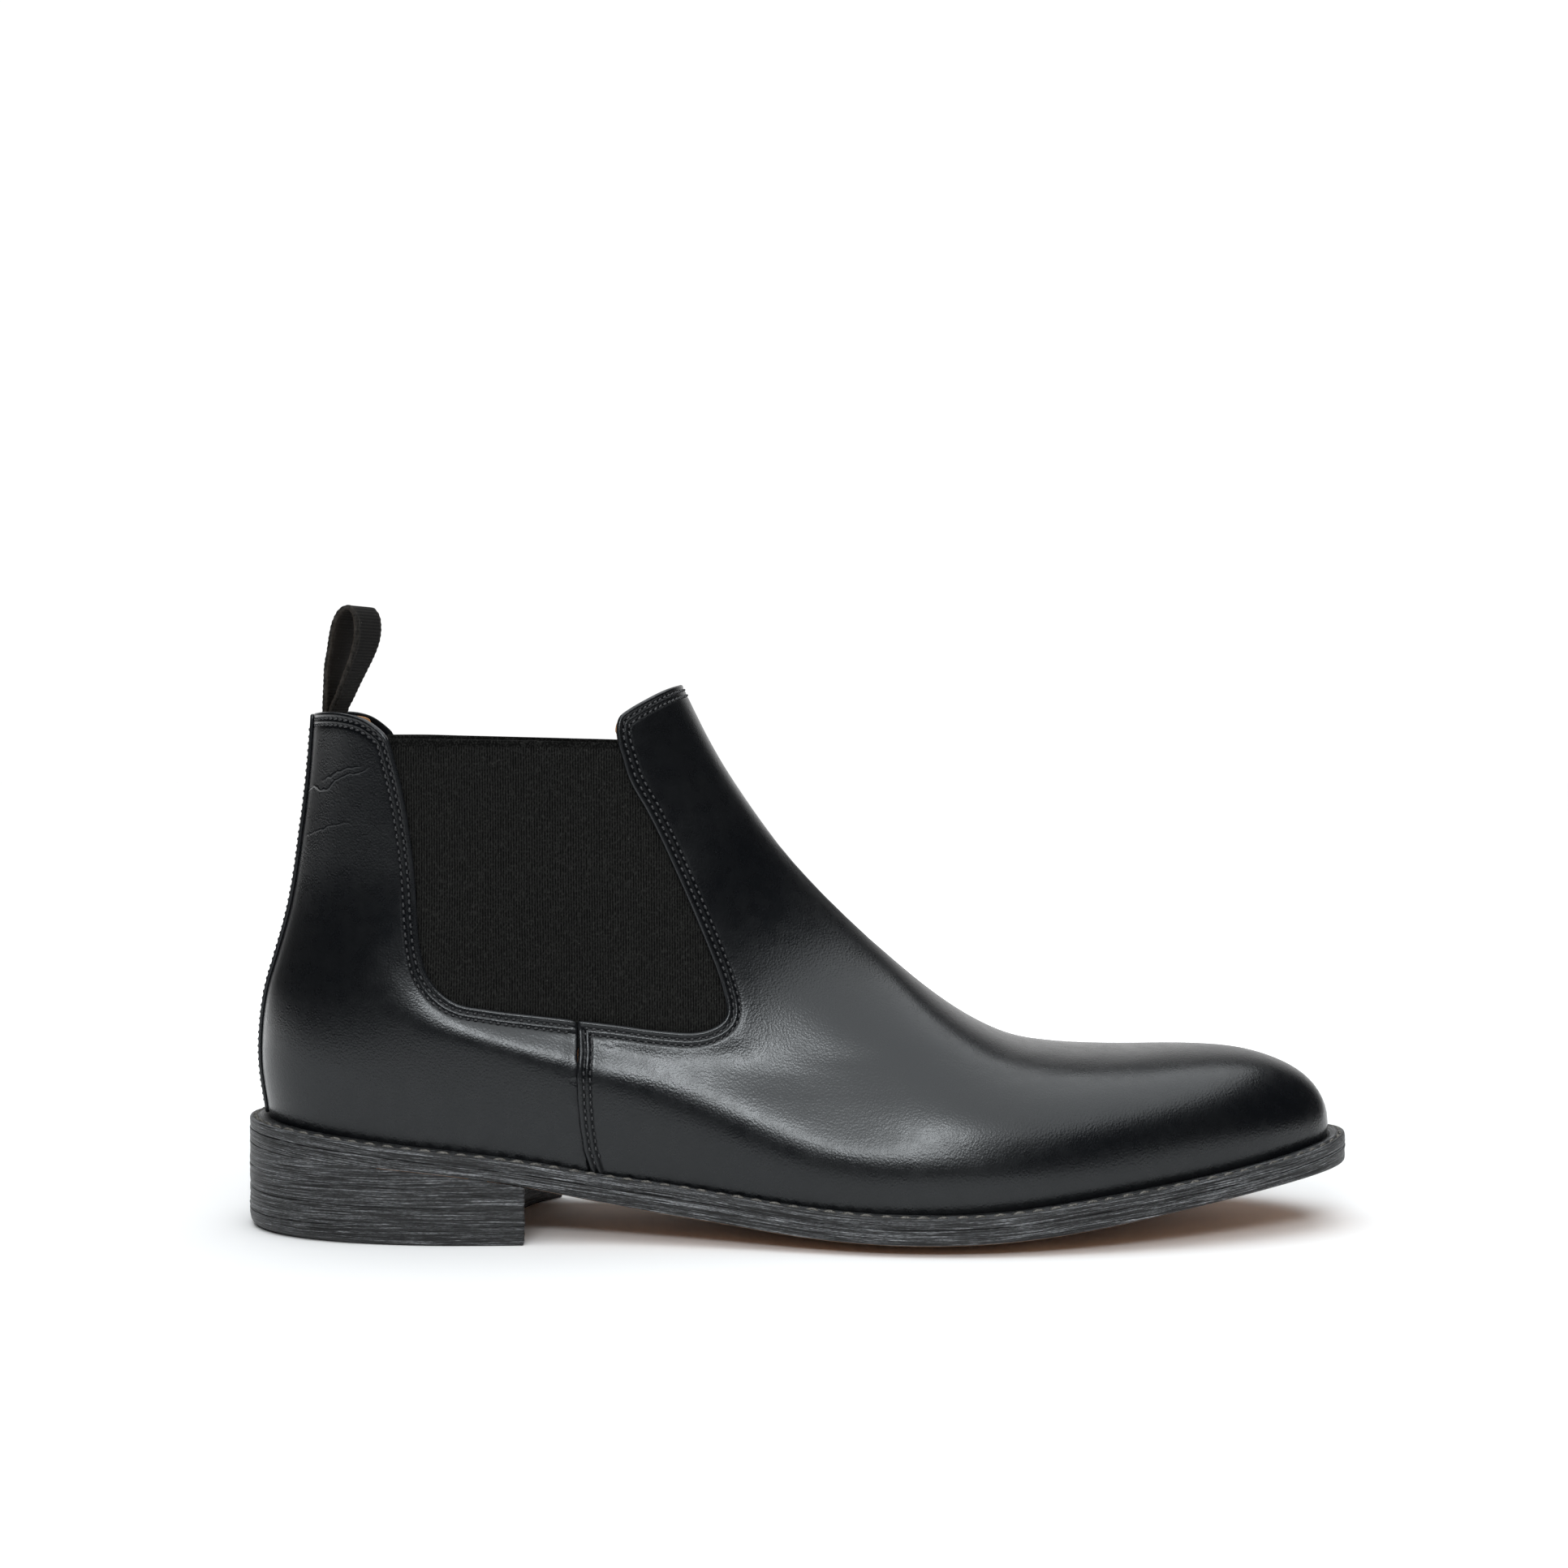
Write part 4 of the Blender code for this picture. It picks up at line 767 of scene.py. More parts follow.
# ---------------------------------------------------------------- materials
class Finish:
    """A material or a world, its shader, and a short way to add nodes to it."""

    def __init__(self, owner, shader="Principled BSDF", place="Object"):
        self.owner = owner
        owner.use_nodes = True
        self.tree = owner.node_tree
        self.shader = self.tree.nodes[shader]
        self.place = self.add("TexCoord").outputs[place]

    def put(self, socket, value):
        if isinstance(value, bpy.types.NodeSocket):
            self.tree.links.new(value, socket)
        else:
            socket.default_value = value

    def add(self, kind, inputs=None, **settings):
        node = self.tree.nodes.new("ShaderNode" + kind)
        for key, value in settings.items():
            setattr(node, key, value)
        for key, value in (inputs or {}).items():
            self.put(node.inputs[key], value)
        return node

    def set(self, **inputs):
        for key, value in inputs.items():
            self.put(self.shader.inputs[key.replace("_", " ")], value)
        return self

    def scaled(self, x, y, z, vector=None):
        return self.add("Mapping", {"Vector": vector or self.place, "Scale": (x, y, z)}).outputs[0]

    def noise(self, scale, detail=2.0, rough=0.5, vector=None):
        inputs = {"Vector": vector or self.place, "Scale": scale, "Detail": detail, "Roughness": rough}
        return self.add("TexNoise", inputs).outputs["Fac"]

    def cells(self, scale):
        return self.add("TexVoronoi", {"Vector": self.place, "Scale": scale}).outputs["Distance"]

    def math(self, operation, a, b=0.0):
        return self.add("Math", {0: a, 1: b}, operation=operation).outputs[0]

    def spread(self, value, low, high, to_low=0.0, to_high=1.0):
        return self.add("MapRange", {0: value, 1: low, 2: high, 3: to_low, 4: to_high}).outputs[0]

    def mix(self, factor, a, b):
        return self.add("Mix", {0: factor, 6: a, 7: b}, data_type="RGBA").outputs[2]

    def tones(self, value, low, high, dark, pale):
        """A colour that goes from dark to pale as a value goes from low to high."""
        return self.mix(self.spread(value, low, high), dark, pale)

    def attribute(self, name, output="Fac"):
        return self.add("Attribute", attribute_name=name).outputs[output]

    def bump(self, *layers):
        """Bumps from (height, distance in metres, strength), one over the other."""
        result = None
        for layer, depth, strength in layers:
            node = self.add("Bump", {"Height": layer, "Distance": depth, "Strength": strength})
            if result is not None:
                self.put(node.inputs["Normal"], result)
            result = node.outputs[0]
        return self.set(Normal=result)


def new_finish(name):
    return Finish(bpy.data.materials.new(name))


def rgb(r, g, b):
    return (r, g, b, 1.0)


def grey(level):
    return rgb(level, level, level)


# creases on the quarter, in metres: height where they would cross x = 0, depth (0 to 1), front end, rear end
CREASES = ((0.1571, 1.0, -0.115, -0.137), (0.1592, 0.8, -0.117, -0.131), (0.1442, 0.4, -0.120, -0.137))


def calf(name, wrinkled=False):
    """Polished black calf: fine pebbled grain under a thin coat of polish."""
    m = new_finish(name)
    patch = m.noise(28, 3)
    fine = m.noise(260, 3)
    base = m.tones(patch, 0.35, 0.65, rgb(0.0016, 0.0021, 0.0030), rgb(0.0029, 0.0032, 0.0038))
    # painted highlight and wear: the leather is paler within 0.7 mm of a sheet's edge, where the rounded edge
    # catches the light and rubs pale
    edge_highlight = m.spread(m.attribute("rim"), 0.0, 0.7, 1.0, 0.0)
    base = m.mix(m.math("MULTIPLY", edge_highlight, 0.5), base, rgb(0.016, 0.017, 0.019))
    rough = m.math("ADD", m.spread(patch, 0.3, 0.7, 0.25, 0.31), m.spread(fine, 0.3, 0.7, -0.03, 0.03))
    m.set(Base_Color=base, Roughness=rough, Specular_Tint=rgb(0.95, 0.98, 1.0))
    gloss = m.spread(m.attribute("sewn"), 0.1, 0.9, 0.42, 0.08)
    m.set(Specular_IOR_Level=gloss, Coat_Weight=0.06, Coat_Roughness=0.2)
    layers = [(m.cells(1750), 0.0001, 0.27), (m.noise(1700, 0.0), 0.0001, 0.2)]
    if wrinkled:
        x, _, z = m.add("SeparateXYZ", {"Vector": m.place}).outputs
        wander = m.math("MULTIPLY", m.noise(95, 3.0), 0.0075)
        level = m.math("SUBTRACT", m.math("SUBTRACT", z, m.math("MULTIPLY", x, 0.3)), wander)
        for middle, deep, start, end in CREASES:
            off = m.math("ABSOLUTE", m.math("SUBTRACT", level, middle))
            crease = m.spread(off, 0.00045, 0.0, 0.0, deep)
            for near, far in ((start, start - 0.004), (end, end + 0.004)):
                crease = m.math("MULTIPLY", crease, m.spread(x, near, far))
            layers.append((crease, 0.00015, 0.7))
    m.bump(*layers)
    return m.owner


def soft_leather(name, dark, pale, rough=0.62, grain=900):
    """Vegetable-tanned leather for linings, sock and insole."""
    m = new_finish(name)
    patch = m.noise(35, 4, 0.6)
    fibres = m.noise(1.0, 3, 0.6, m.scaled(grain, grain * 0.6, grain))
    base = m.tones(patch, 0.3, 0.7, dark, pale)
    base = m.mix(m.spread(fibres, 0.35, 0.8, 0.0, 0.35), base, rgb(*(c * 0.55 for c in dark[:3])))
    m.set(Base_Color=base, Roughness=m.spread(patch, 0.3, 0.7, rough - 0.06, rough + 0.08))
    m.bump((m.cells(grain * 1.3), 0.00008, 0.3), (fibres, 0.0001, 0.35))
    return m.owner


def elastic_web(name):
    """Knitted elastic: the ribs are in the mesh, the knitted loops on them are in the bump, and the grooves
    between the ribs get painted shade.
    """
    m = new_finish(name)
    rib_vs_groove_shade = m.attribute("rib")
    loops = m.noise(1.0, 1.5, 0.5, m.scaled(2400, 2400, 1700))
    lint = m.noise(1500, 1.0)
    # painted shade: the colour goes nearly black in the grooves between the ribs
    base = m.mix(m.math("POWER", rib_vs_groove_shade, 1.6), grey(0.0005), rgb(0.0125, 0.0125, 0.0118))
    base = m.mix(m.spread(loops, 0.45, 0.75, 0.0, 0.55), base, rgb(0.034, 0.034, 0.032))
    base = m.tones(lint, 0.8, 0.84, base, rgb(0.07, 0.07, 0.068))
    m.set(Base_Color=base, Roughness=0.9, Specular_IOR_Level=0.06)
    m.bump((loops, 0.0002, 0.6))
    return m.owner


def webbing(name):
    """Woven tape: weft ribs in the mesh, warp threads in the bump, paler edge threads and inner face."""
    m = new_finish(name)
    weave = m.attribute("weave")
    edge = m.attribute("selvedge")
    inner = m.attribute("inner")
    warp = m.noise(1.0, 1.0, 0.5, m.scaled(500, 2600, 500))
    lint = m.noise(1300, 1.0)
    base = m.mix(weave, rgb(0.003, 0.003, 0.003), rgb(0.016, 0.015, 0.014))
    base = m.mix(m.math("MULTIPLY", inner, 0.6), base, rgb(0.03, 0.023, 0.018))
    base = m.mix(m.math("MULTIPLY", edge, m.spread(warp, 0.4, 0.65, 0.1, 0.6)), base, rgb(0.05, 0.045, 0.04))
    base = m.tones(lint, 0.76, 0.82, base, rgb(0.13, 0.12, 0.11))
    m.set(Base_Color=base, Roughness=0.85, Specular_IOR_Level=0.1)
    m.bump((warp, 0.00015, 0.6))
    return m.owner


def thread(name, dark, pale, rough=0.5):
    m = new_finish(name)
    twist = m.noise(1.0, 2, 0.5, m.scaled(2800, 2800, 2800))
    m.set(Base_Color=m.tones(twist, 0.35, 0.7, dark, pale), Roughness=rough, Specular_IOR_Level=0.5)
    m.bump((twist, 0.0001, 0.7))
    return m.owner


def stacked_edge(name, dark=0.004, pale=0.42):
    """Stained and waxed edges of leather layers: thin lines along the edge, coloured pale as painted
    highlights on their ridges.
    """
    m = new_finish(name)
    wall = m.attribute("wall", "Vector")
    broad = m.noise(1.0, 2, 0.6, m.scaled(0.014, 0.014, 1.5, wall))
    fine = m.noise(1.0, 3, 0.65, m.scaled(0.035, 0.035, 3.4, wall))
    grit = m.noise(1.0, 2, 0.6, m.scaled(0.9, 0.9, 4.0, wall))
    lines = []
    for noise, width, weight in ((broad, 0.022, 1.0), (fine, 0.03, 0.6)):
        off = m.math("ABSOLUTE", m.math("SUBTRACT", noise, 0.5))
        lines.append(m.math("MULTIPLY", m.spread(off, width, 0.0), weight))
    # painted highlight: the lines' ridges are coloured pale, as if they glinted
    edge_highlight = m.math("MULTIPLY", m.math("ADD", *lines), m.spread(grit, 0.4, 0.62, 0.3, 1.0))
    base = m.mix(edge_highlight, rgb(dark, dark * 1.02, dark * 1.1), rgb(pale * 0.97, pale, pale * 1.04))
    m.set(Base_Color=base, Roughness=m.spread(grit, 0.3, 0.7, 0.34, 0.5), Specular_IOR_Level=0.34)
    m.bump((edge_highlight, 0.0003, 0.6), (fine, 0.0004, 0.5), (broad, 0.0004, 0.4))
    return m.owner


def tread_leather(name):
    m = new_finish(name)
    patch = m.noise(22, 4, 0.6)
    pores = m.cells(1500)
    scuff = m.noise(1.0, 4, 0.7, m.scaled(60, 260, 60))
    base = m.tones(patch, 0.3, 0.7, rgb(0.30, 0.15, 0.075), rgb(0.40, 0.22, 0.115))
    base = m.mix(m.spread(scuff, 0.52, 0.75, 0.0, 0.45), base, rgb(0.2, 0.1, 0.055))
    m.set(Base_Color=base, Roughness=m.spread(scuff, 0.3, 0.7, 0.38, 0.6))
    m.set(Coat_Weight=0.1, Coat_Roughness=0.3)
    m.bump((pores, 0.00008, 0.3), (scuff, 0.0002, 0.3))
    return m.owner


def rubber(name):
    m = new_finish(name)
    patch = m.noise(60, 4, 0.6)
    grit = m.noise(1500, 2)
    m.set(Base_Color=m.tones(patch, 0.35, 0.7, grey(0.012), rgb(0.028, 0.028, 0.029)))
    m.set(Roughness=m.spread(patch, 0.3, 0.7, 0.55, 0.75))
    m.bump((grit, 0.0002, 0.5), (m.cells(420), 0.0001, 0.2))
    return m.owner


def metal(name, color, rough, scratch=400):
    m = new_finish(name)
    lines = m.noise(1.0, 4, 0.7, m.scaled(scratch, scratch * 0.1, scratch))
    dull = rgb(*(c * 0.7 for c in color[:3]))
    m.set(Base_Color=m.tones(lines, 0.3, 0.7, color, dull), Metallic=1.0)
    m.set(Roughness=m.spread(lines, 0.3, 0.7, rough - 0.08, rough + 0.1))
    m.bump((lines, 0.00005, 0.4))
    return m.owner


def cork(name):
    m = new_finish(name)
    crumbs = m.cells(700)
    m.set(Base_Color=m.tones(crumbs, 0.1, 0.6, rgb(0.13, 0.07, 0.035), rgb(0.42, 0.27, 0.15)), Roughness=0.9)
    m.bump((crumbs, 0.0004, 0.6))
    return m.owner


UPPER, QUARTER = calf("calf"), calf("calf_creased", wrinkled=True)
LINED = soft_leather("lining_calf", rgb(0.36, 0.165, 0.062), rgb(0.48, 0.245, 0.10))
SOCK_TAN = soft_leather("sock_calf", rgb(0.42, 0.22, 0.10), rgb(0.5, 0.28, 0.14), 0.55)
BOARD = soft_leather("insole_board", rgb(0.5, 0.34, 0.2), rgb(0.6, 0.43, 0.27), 0.8, 500)
FELT = soft_leather("stiffener_board", rgb(0.5, 0.42, 0.32), rgb(0.6, 0.52, 0.42), 0.85, 400)
RIBBED, TAPE = elastic_web("elastic_knit"), webbing("tape_weave")
SEWING = thread("sewing_thread", rgb(0.005, 0.005, 0.006), rgb(0.034, 0.035, 0.038), 0.34)
WELT_CORD = thread("welt_thread", rgb(0.02, 0.019, 0.017), rgb(0.16, 0.15, 0.13), 0.5)
STACK, STACK_LIFT = stacked_edge("stack_edge"), stacked_edge("heel_edge", 0.004, 0.34)
TREAD, RUBBER = tread_leather("tread_leather"), rubber("top_piece_rubber")


def coat(thing, material):
    thing.data.materials.clear()
    thing.data.materials.append(material)


def done(thing, material, slot, *nodes, body="boot"):
    """Gives a piece its finish and body, and hides the CAD nodes it stands for; slot is not used. A bending
    piece has body None.
    """
    coat(thing, material)
    if nodes:
        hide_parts(*nodes)
    if body:
        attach(thing, body)
    return thing


# ---------------------------------------------------------------- vamp, quarters, back strip
def vamp_depth(p):
    """The vamp's edge stands proud where it laps over the quarter."""
    low_part = ease((57.0 - p[:, 2]) / 3.0) * 0.6 + 0.4
    return -0.6 * ease((seam_at(p[:, 2]) + 8.0 - p[:, 0]) / 6.5) * low_part * (p[:, 0] < -40)


def quarter_depth(p):
    """The quarter sinks a little toward the vamp's edge and then passes under it."""
    past = p[:, 0] - seam_at(p[:, 2])
    return 0.25 * ease((past + 5.0) / 4.5) + 1.4 * ease((past + 0.1) / 1.6)


STITCH_ROWS = (1.8, 3.5)  # from the folded edges to the two rows of stitches
front_lines = front_outline([seam_line[::-1], gore_front, top_front[1:]])
stitched = [gore_front, top_front, mirrored(gore_front), mirrored(top_front), seam_line, mirrored(seam_line)]
vamp = skin("vamp_calf", front_lines, vamp_depth, LEATHER, stitched, STITCH_ROWS)
bends(done(vamp, UPPER, "upper_leather", "vamp", "vamp_shaft", body=None))

NOTCH = 47.5  # the height under which the quarter laps under the vamp
side_curve = spline(SEAM, 61)
below = side_curve[side_curve[:, 1] < NOTCH]
tab_line = locate(np.vstack([[below[0] + [LAP, 0]], shifted(below, LAP)[1:]]))
tab_line[-1, 1] = 0
seam_gap = locate(side_curve[side_curve[:, 1] >= NOTCH] - [0.25, 0])
for side, lines in both_sides(rear_outline(top_rear, gore_rear[1:-1], seam_gap, tab_line)):
    guides = [gore_rear, top_rear] if side == "lateral" else [mirrored(gore_rear), mirrored(top_rear)]
    piece = skin(f"quarter_calf_{side}", lines, quarter_depth, LEATHER, guides, STITCH_ROWS)
    done(piece, QUARTER, "upper_leather", f"quarter_{side}")

strip_v = np.linspace(0.028, top_rear[0, 1] - 0.001, 40)
wide = STRIP_HALF * (0.62 + 0.38 * ease((strip_v - 0.05) / 0.7))
reach = np.linalg.norm(point(0.02, strip_v) - point(-0.02, strip_v), axis=1) / 0.04
strip = np.stack([wide / reach, strip_v], axis=1)
strip_lines = [
    between(strip[0] * [-1, 1], strip[0], 5),
    strip,
    between(strip[-1], strip[-1] * [-1, 1], 5),
    (strip * [-1, 1])[::-1],
]
piece = skin("back_strip_calf", strip_lines, flat_depth(-1.0), 1.15)
done(piece, UPPER, "upper_leather", "back_strip")

# ---------------------------------------------------------------- linings
MARGIN_TOP = 133.6  # height at which the elastic's outline ends
SPLIT_X = -59.0  # where the vamp's lining meets the quarter's, under the elastic
# the elastic's outline in the side view, and the linings' rim round it
opening = np.vstack([spline(GORE_REAR, 61)[:-1], spline(GORE_FRONT, 61)])
margin = shifted(opening, -GORE_LAP)
margin = margin[margin[:, 1] < MARGIN_TOP]
margin = np.vstack([[margin[0][0] - 0.6, MARGIN_TOP + 1], margin, [margin[-1][0] - 0.4, MARGIN_TOP]])
rim = shifted(margin, -0.6)
rim_line = locate(rim)
low_row = int(np.abs(rim[:, 0] - SPLIT_X).argmin())
split_line = between(rim_line[low_row], (seam_line[-1, 0], 0), 30)
front_cap = locate(spline([(p[0], p[1] - 1.1) for p in TOP_FRONT], 25))
front_cap[-1, 0] = 1.0
front_top = np.vstack([locate([[-48.3, 135.2]]), front_cap[3:]])
lining_lines = front_outline([split_line[::-1], rim_line[low_row:-1], front_top])


def lining_depth(p):
    """The lining rises toward the topline, where nothing lies between it and the leather."""
    front = p[:, 0] > -60
    rise = np.where(front, ease((p[:, 2] - 84) / 30), ease((p[:, 2] - 108) / 20))
    return LINING_DEPTH + (LEATHER + CLEARANCE - LINING_DEPTH) * rise


piece = skin("vamp_lining_calf", lining_lines, lining_depth, LINING, spacing=2)
bends(done(piece, LINED, "lining_leather", "vamp_lining", "vamp_shaft_lining", body=None))

rear_cap = locate(spline([(p[0], p[1] - 1.2) for p in TOP_REAR], 25))
rear_cap[0, 0] = BACK_GAP
rear_cap = rear_cap[rear_cap[:, 0] < rim_line[0, 0] - 0.004]
split_back = split_line - [0.0015, 0]
for side, lines in both_sides(rear_outline(rear_cap, rim_line[:low_row], split_back[1:])):
    piece = skin(f"quarter_lining_calf_{side}", lines, lining_depth, LINING, spacing=2)
    done(piece, LINED, "lining_leather", f"quarter_lining_{side}")

# ---------------------------------------------------------------- elastic gores
RIB, RIB_HIGH, SELVEDGE = 0.7, 0.15, 2.1  # the ribs' pitch and height, and the smooth top edge's height
RIB_COLUMNS = 5  # of vertices in a rib
TOP_ROWS = (2.4, 2.1, 1.8, 1.3, 0.8, 0.3, 0.0)  # the last rows of vertices, under the top edge
SHORTEST = 4.0  # column of vertices that is kept


def gore_columns():
    """Where the elastic's columns of vertices stand in the side view, and how far down and up they reach."""
    columns = np.arange(margin[:, 0].min() + 0.4, margin[:, 0].max() - 0.4, RIB / RIB_COLUMNS)
    lows, highs = [], []
    for x in columns:
        a, b = margin, np.roll(margin, -1, axis=0)
        crosses = (a[:, 0] > x) != (b[:, 0] > x)
        a, b = a[crosses], b[crosses]
        z = a[:, 1] + (x - a[:, 0]) * (b[:, 1] - a[:, 1]) / (b[:, 0] - a[:, 0])
        lows.append(z.min())
        highs.append(z.max())
    lows, highs = np.array(lows), np.array(highs)
    keep = highs - lows > SHORTEST
    return columns[keep], blurred(lows[keep], 6), highs[keep]


def locate_many(x, z, wide=56, tall=48):
    """Turn and height of many points: located over a coarse grid, and in between by straight lines."""
    gx = np.linspace(x.min() - 1, x.max() + 1, wide)
    gz = np.linspace(z.min() - 1, z.max() + 1, tall)
    mesh_x, mesh_z = np.meshgrid(gx, gz, indexing="ij")
    found = locate(np.stack([mesh_x.ravel(), mesh_z.ravel()], axis=1)).reshape(wide, tall, 2)
    i = (x - gx[0]) / (gx[1] - gx[0])
    j = (z - gz[0]) / (gz[1] - gz[0])
    i0, j0 = np.clip(i.astype(int), 0, wide - 2), np.clip(j.astype(int), 0, tall - 2)
    around = [found[i0 + p, j0 + q] for q in range(2) for p in range(2)]
    return bilinear((i - i0)[..., None], (j - j0)[..., None], *around).reshape(-1, 2).T


def gore(name, medial):
    """Ribbed elastic behind the leather's edges, its ribs upright and its top edge woven smooth."""
    columns, lows, highs = gore_columns()
    z = [lows + (highs - TOP_ROWS[0] - lows) * f for f in np.linspace(0, 1, 22)[:-1]]
    z = np.array(z + [highs - row for row in TOP_ROWS])
    x = np.broadcast_to(columns, z.shape)
    a, v = locate_many(x, z)
    if medial:
        a = to_medial(a, v)
    ribs = (0.5 + 0.5 * np.cos(2 * math.pi * x.ravel() / RIB)) ** 0.8
    below_top = (GORE_TOP - z).ravel()
    plain = ease((SELVEDGE - below_top) / 0.35)
    crease = bell(below_top, SELVEDGE + 0.15, 0.22)
    ribs = ribs * (1 - plain)
    round_top = 0.45 * (1 - np.sqrt(np.clip(1 - np.clip(1 - below_top / 0.5, 0, 1) ** 2, 0, 1)))
    rise = RIB_HIGH * ribs + 0.16 * plain - 0.18 * crease - round_top
    p, n = point(a, v), normal(a, v)
    outer = p - n * (ELASTIC_DEPTH - rise)[:, None]
    inner = p - n * (ELASTIC_DEPTH + ELASTIC - 0.15 + rise)[:, None]
    rows, count = z.shape
    total = rows * count
    front = strip_faces(rows, count)
    faces = [*front, *(front[:, ::-1] + total)]
    border = [*range(count)]
    border += [(r + 1) * count - 1 for r in range(1, rows)]
    border += [(rows - 1) * count + k for k in range(count - 2, -1, -1)]
    border += [r * count for r in range(rows - 2, 0, -1)]
    faces += [(b, a, a + total, b + total) for a, b in zip(border, border[1:] + border[:1])]
    if medial:
        faces = [f[::-1] for f in faces]
    # high on the ribs, low in the grooves and at the smooth top edge; the elastic's material paints shade
    # where it is low
    rib_vs_groove_shade = np.tile(np.clip(ribs * 1.1 + 0.28 * plain, 0, 1), 2)
    return add_mesh(name, np.vstack([outer, inner]), faces, {"rib": rib_vs_groove_shade})


for side in ("lateral", "medial"):
    piece = gore(f"gore_elastic_{side}", side == "medial")
    bends(done(piece, RIBBED, "elastic", f"gore_{side}", body=None))

# ---------------------------------------------------------------- seams of the upper
front_edge = np.vstack([gore_front, top_front[1:]])
rear_edge = np.vstack([top_rear[2:], gore_rear[1:]])
front_rows, rear_rows, side_rows, strip_rows = [], [], [], []
for flip in (lambda line: line, mirrored):
    ends = slice(None, None, -1 if flip is mirrored else 1)
    for row in STITCH_ROWS:
        front_rows.append(seam_path(flip(front_edge), -row, vamp_depth, (1.2, 0.0)[ends]))
        rear_rows.append(seam_path(flip(rear_edge), -row, quarter_depth, (0.0, 1.0)[ends]))
        side_rows.append(seam_path(flip(seam_line), row, vamp_depth, (4.6, 3.5)[ends]))
done(seam("side_seam_stitches", side_rows, seed=3), SEWING, "upper_leather")
bends(done(seam("front_gore_stitches", front_rows, seed=4), SEWING, "upper_leather", body=None))
done(seam("rear_gore_stitches", rear_rows, seed=5), SEWING, "upper_leather")
for side in (1, -1):
    line = np.stack([(strip[:, 0] - 1.4 / reach) * side, strip_v], axis=1)
    strip_rows.append(seam_path(line, 0.0, flat_depth(-1.05), (2, 2)))
strip_seams = seam("back_strip_stitches", strip_rows, pitch=1.9, length=1.6, radius=0.24, seed=6)
done(strip_seams, SEWING, "upper_leather")


# ---------------------------------------------------------------- bottom
INNER_RINGS = ((0.8, 1), (1.9, 2), (3.4, 3))  # distances inside a plate's edge, and which points are kept


def wall_relief(x, y, level):
    """How far a waxed layered edge stands proud, in mm: lines along the edge that come and go."""
    cells = ((34, 0.62, 11), (22, 1.7, 12), (5, 0.8, 13))  # length along the edge, height, seed
    lines, broad, nicks = (
        value_noise(np.stack([x / long, y / long, level / high], axis=1), seed) for long, high, seed in cells
    )
    return 0.16 * lines + 0.08 * broad - 0.2 * np.clip(nicks - 0.45, 0, None)


def slab(name, outline, low, high, level_of, cap, round_low, round_high, row=0.36, detail=None):
    """A plate between two heights, whose wall carries the layered edge's relief.

    Cap is the spacing of the flat faces' points and row the wall's. Detail adds points to the lower face.
    """
    x, y = outline[:, 0], outline[:, 1]
    out = outward(outline)
    z_low, z_high = low(x, y), high(x, y)
    tall = (z_high - z_low).max()
    rows = max(6, int(round(tall / row)))
    rise = np.linspace(0, 1, rows)[1:-1] * tall
    rise = np.concatenate([[0, 0.15, 0.4], rise, [tall - 0.4, tall - 0.15, tall]])
    rise = np.unique(np.round(np.sort(rise), 3))
    verts, walls = [], []
    soft_low = np.broadcast_to(round_low(x) if callable(round_low) else round_low, x.shape)
    for r in rise:
        z = z_low + (z_high - z_low) * r / tall
        up, down = z - z_low, z_high - z
        level = level_of(x, y, z)
        bulge = wall_relief(x, y, level) * ease(up / 0.5) * ease(down / 0.4)
        bulge = bulge - rounding(soft_low, up) - rounding(round_high, down)
        verts.append(np.column_stack([outline + out * bulge[:, None], z]))
        walls.append(np.column_stack([x, y, level]))
    n, count = len(outline), len(rise)
    faces = [*strip_faces(count, n, closed_columns=True)]
    base = count * n
    for face_up, ring_row, height_of in ((False, 0, low), (True, count - 1, high)):
        ring = verts[ring_row][:, :2]
        across_x, across_y = (np.arange(ring[:, k].min(), ring[:, k].max(), cap) for k in range(2))
        fill = np.array([(px, py) for px in across_x for py in across_y])
        edge = [closed(ring)]
        fill = fill[inside(ring, fill)]
        fill = fill[distance(fill, edge) > max(0.35 * cap, 4.4)]
        rings_in = [(ring - out * d)[::step] for d, step in INNER_RINGS]
        rings_in = [q[distance(q, edge) > 0.9 * d] for q, (d, _) in zip(rings_in, INNER_RINGS)]
        if detail is not None and not face_up:
            apart = np.linalg.norm(fill[:, None] - detail[None], axis=2).min(1)
            fill = np.vstack([fill[apart > 1.5], detail])
        flat, tris = triangulated(ring, np.vstack(rings_in + [fill]))
        flat = flat[n:]
        z = height_of(*flat.T)
        verts.append(np.column_stack([flat, z]))
        walls.append(np.column_stack([flat, level_of(*flat.T, z)]))
        index = np.concatenate([ring_row * n + np.arange(n), base + np.arange(len(flat))])
        base += len(flat)
        faces += [*index[tris if face_up else tris[:, ::-1]]]
    return add_mesh(name, np.vstack(verts), faces, {"wall": np.vstack(walls)})


def from_edge(x, y, loop):
    return distance(np.stack([x, y], axis=1), [closed(loop)])


def above_sole(level):
    return lambda x, y: sole_top(x) + level


def tread(x, y):
    """The outsole's bottom: level with its edge all round, crowned under the waist and forefoot."""
    crown = 3.1 * ease(from_edge(x, y, sole_loop) / 30) * ease((x + 78) / 70)
    return np.maximum(sole_edge_bottom(x) - crown, 0)


def sole_level(x, y, z):
    return z - sole_top(x)


def sole_rounding(x):
    """The outsole's lower edge is sharp over the heel and rounded before it."""
    return 0.12 + 0.68 * ease((x + 84) / 10)


def underside(thing, material, steepness):
    """Gives the faces that look down a material of their own."""
    thing.data.materials.append(material)
    for face in thing.data.polygons:
        if face.normal.z < -steepness:
            face.material_index = 1


sole_plate = above_sole(-WELT - 0.05)
outsole = slab("outsole_leather", sole_loop, tread, sole_plate, sole_level, 5.0, sole_rounding, 0.12)
underside(done(outsole, STACK, "sole_leather", "outsole"), TREAD, 0.8)

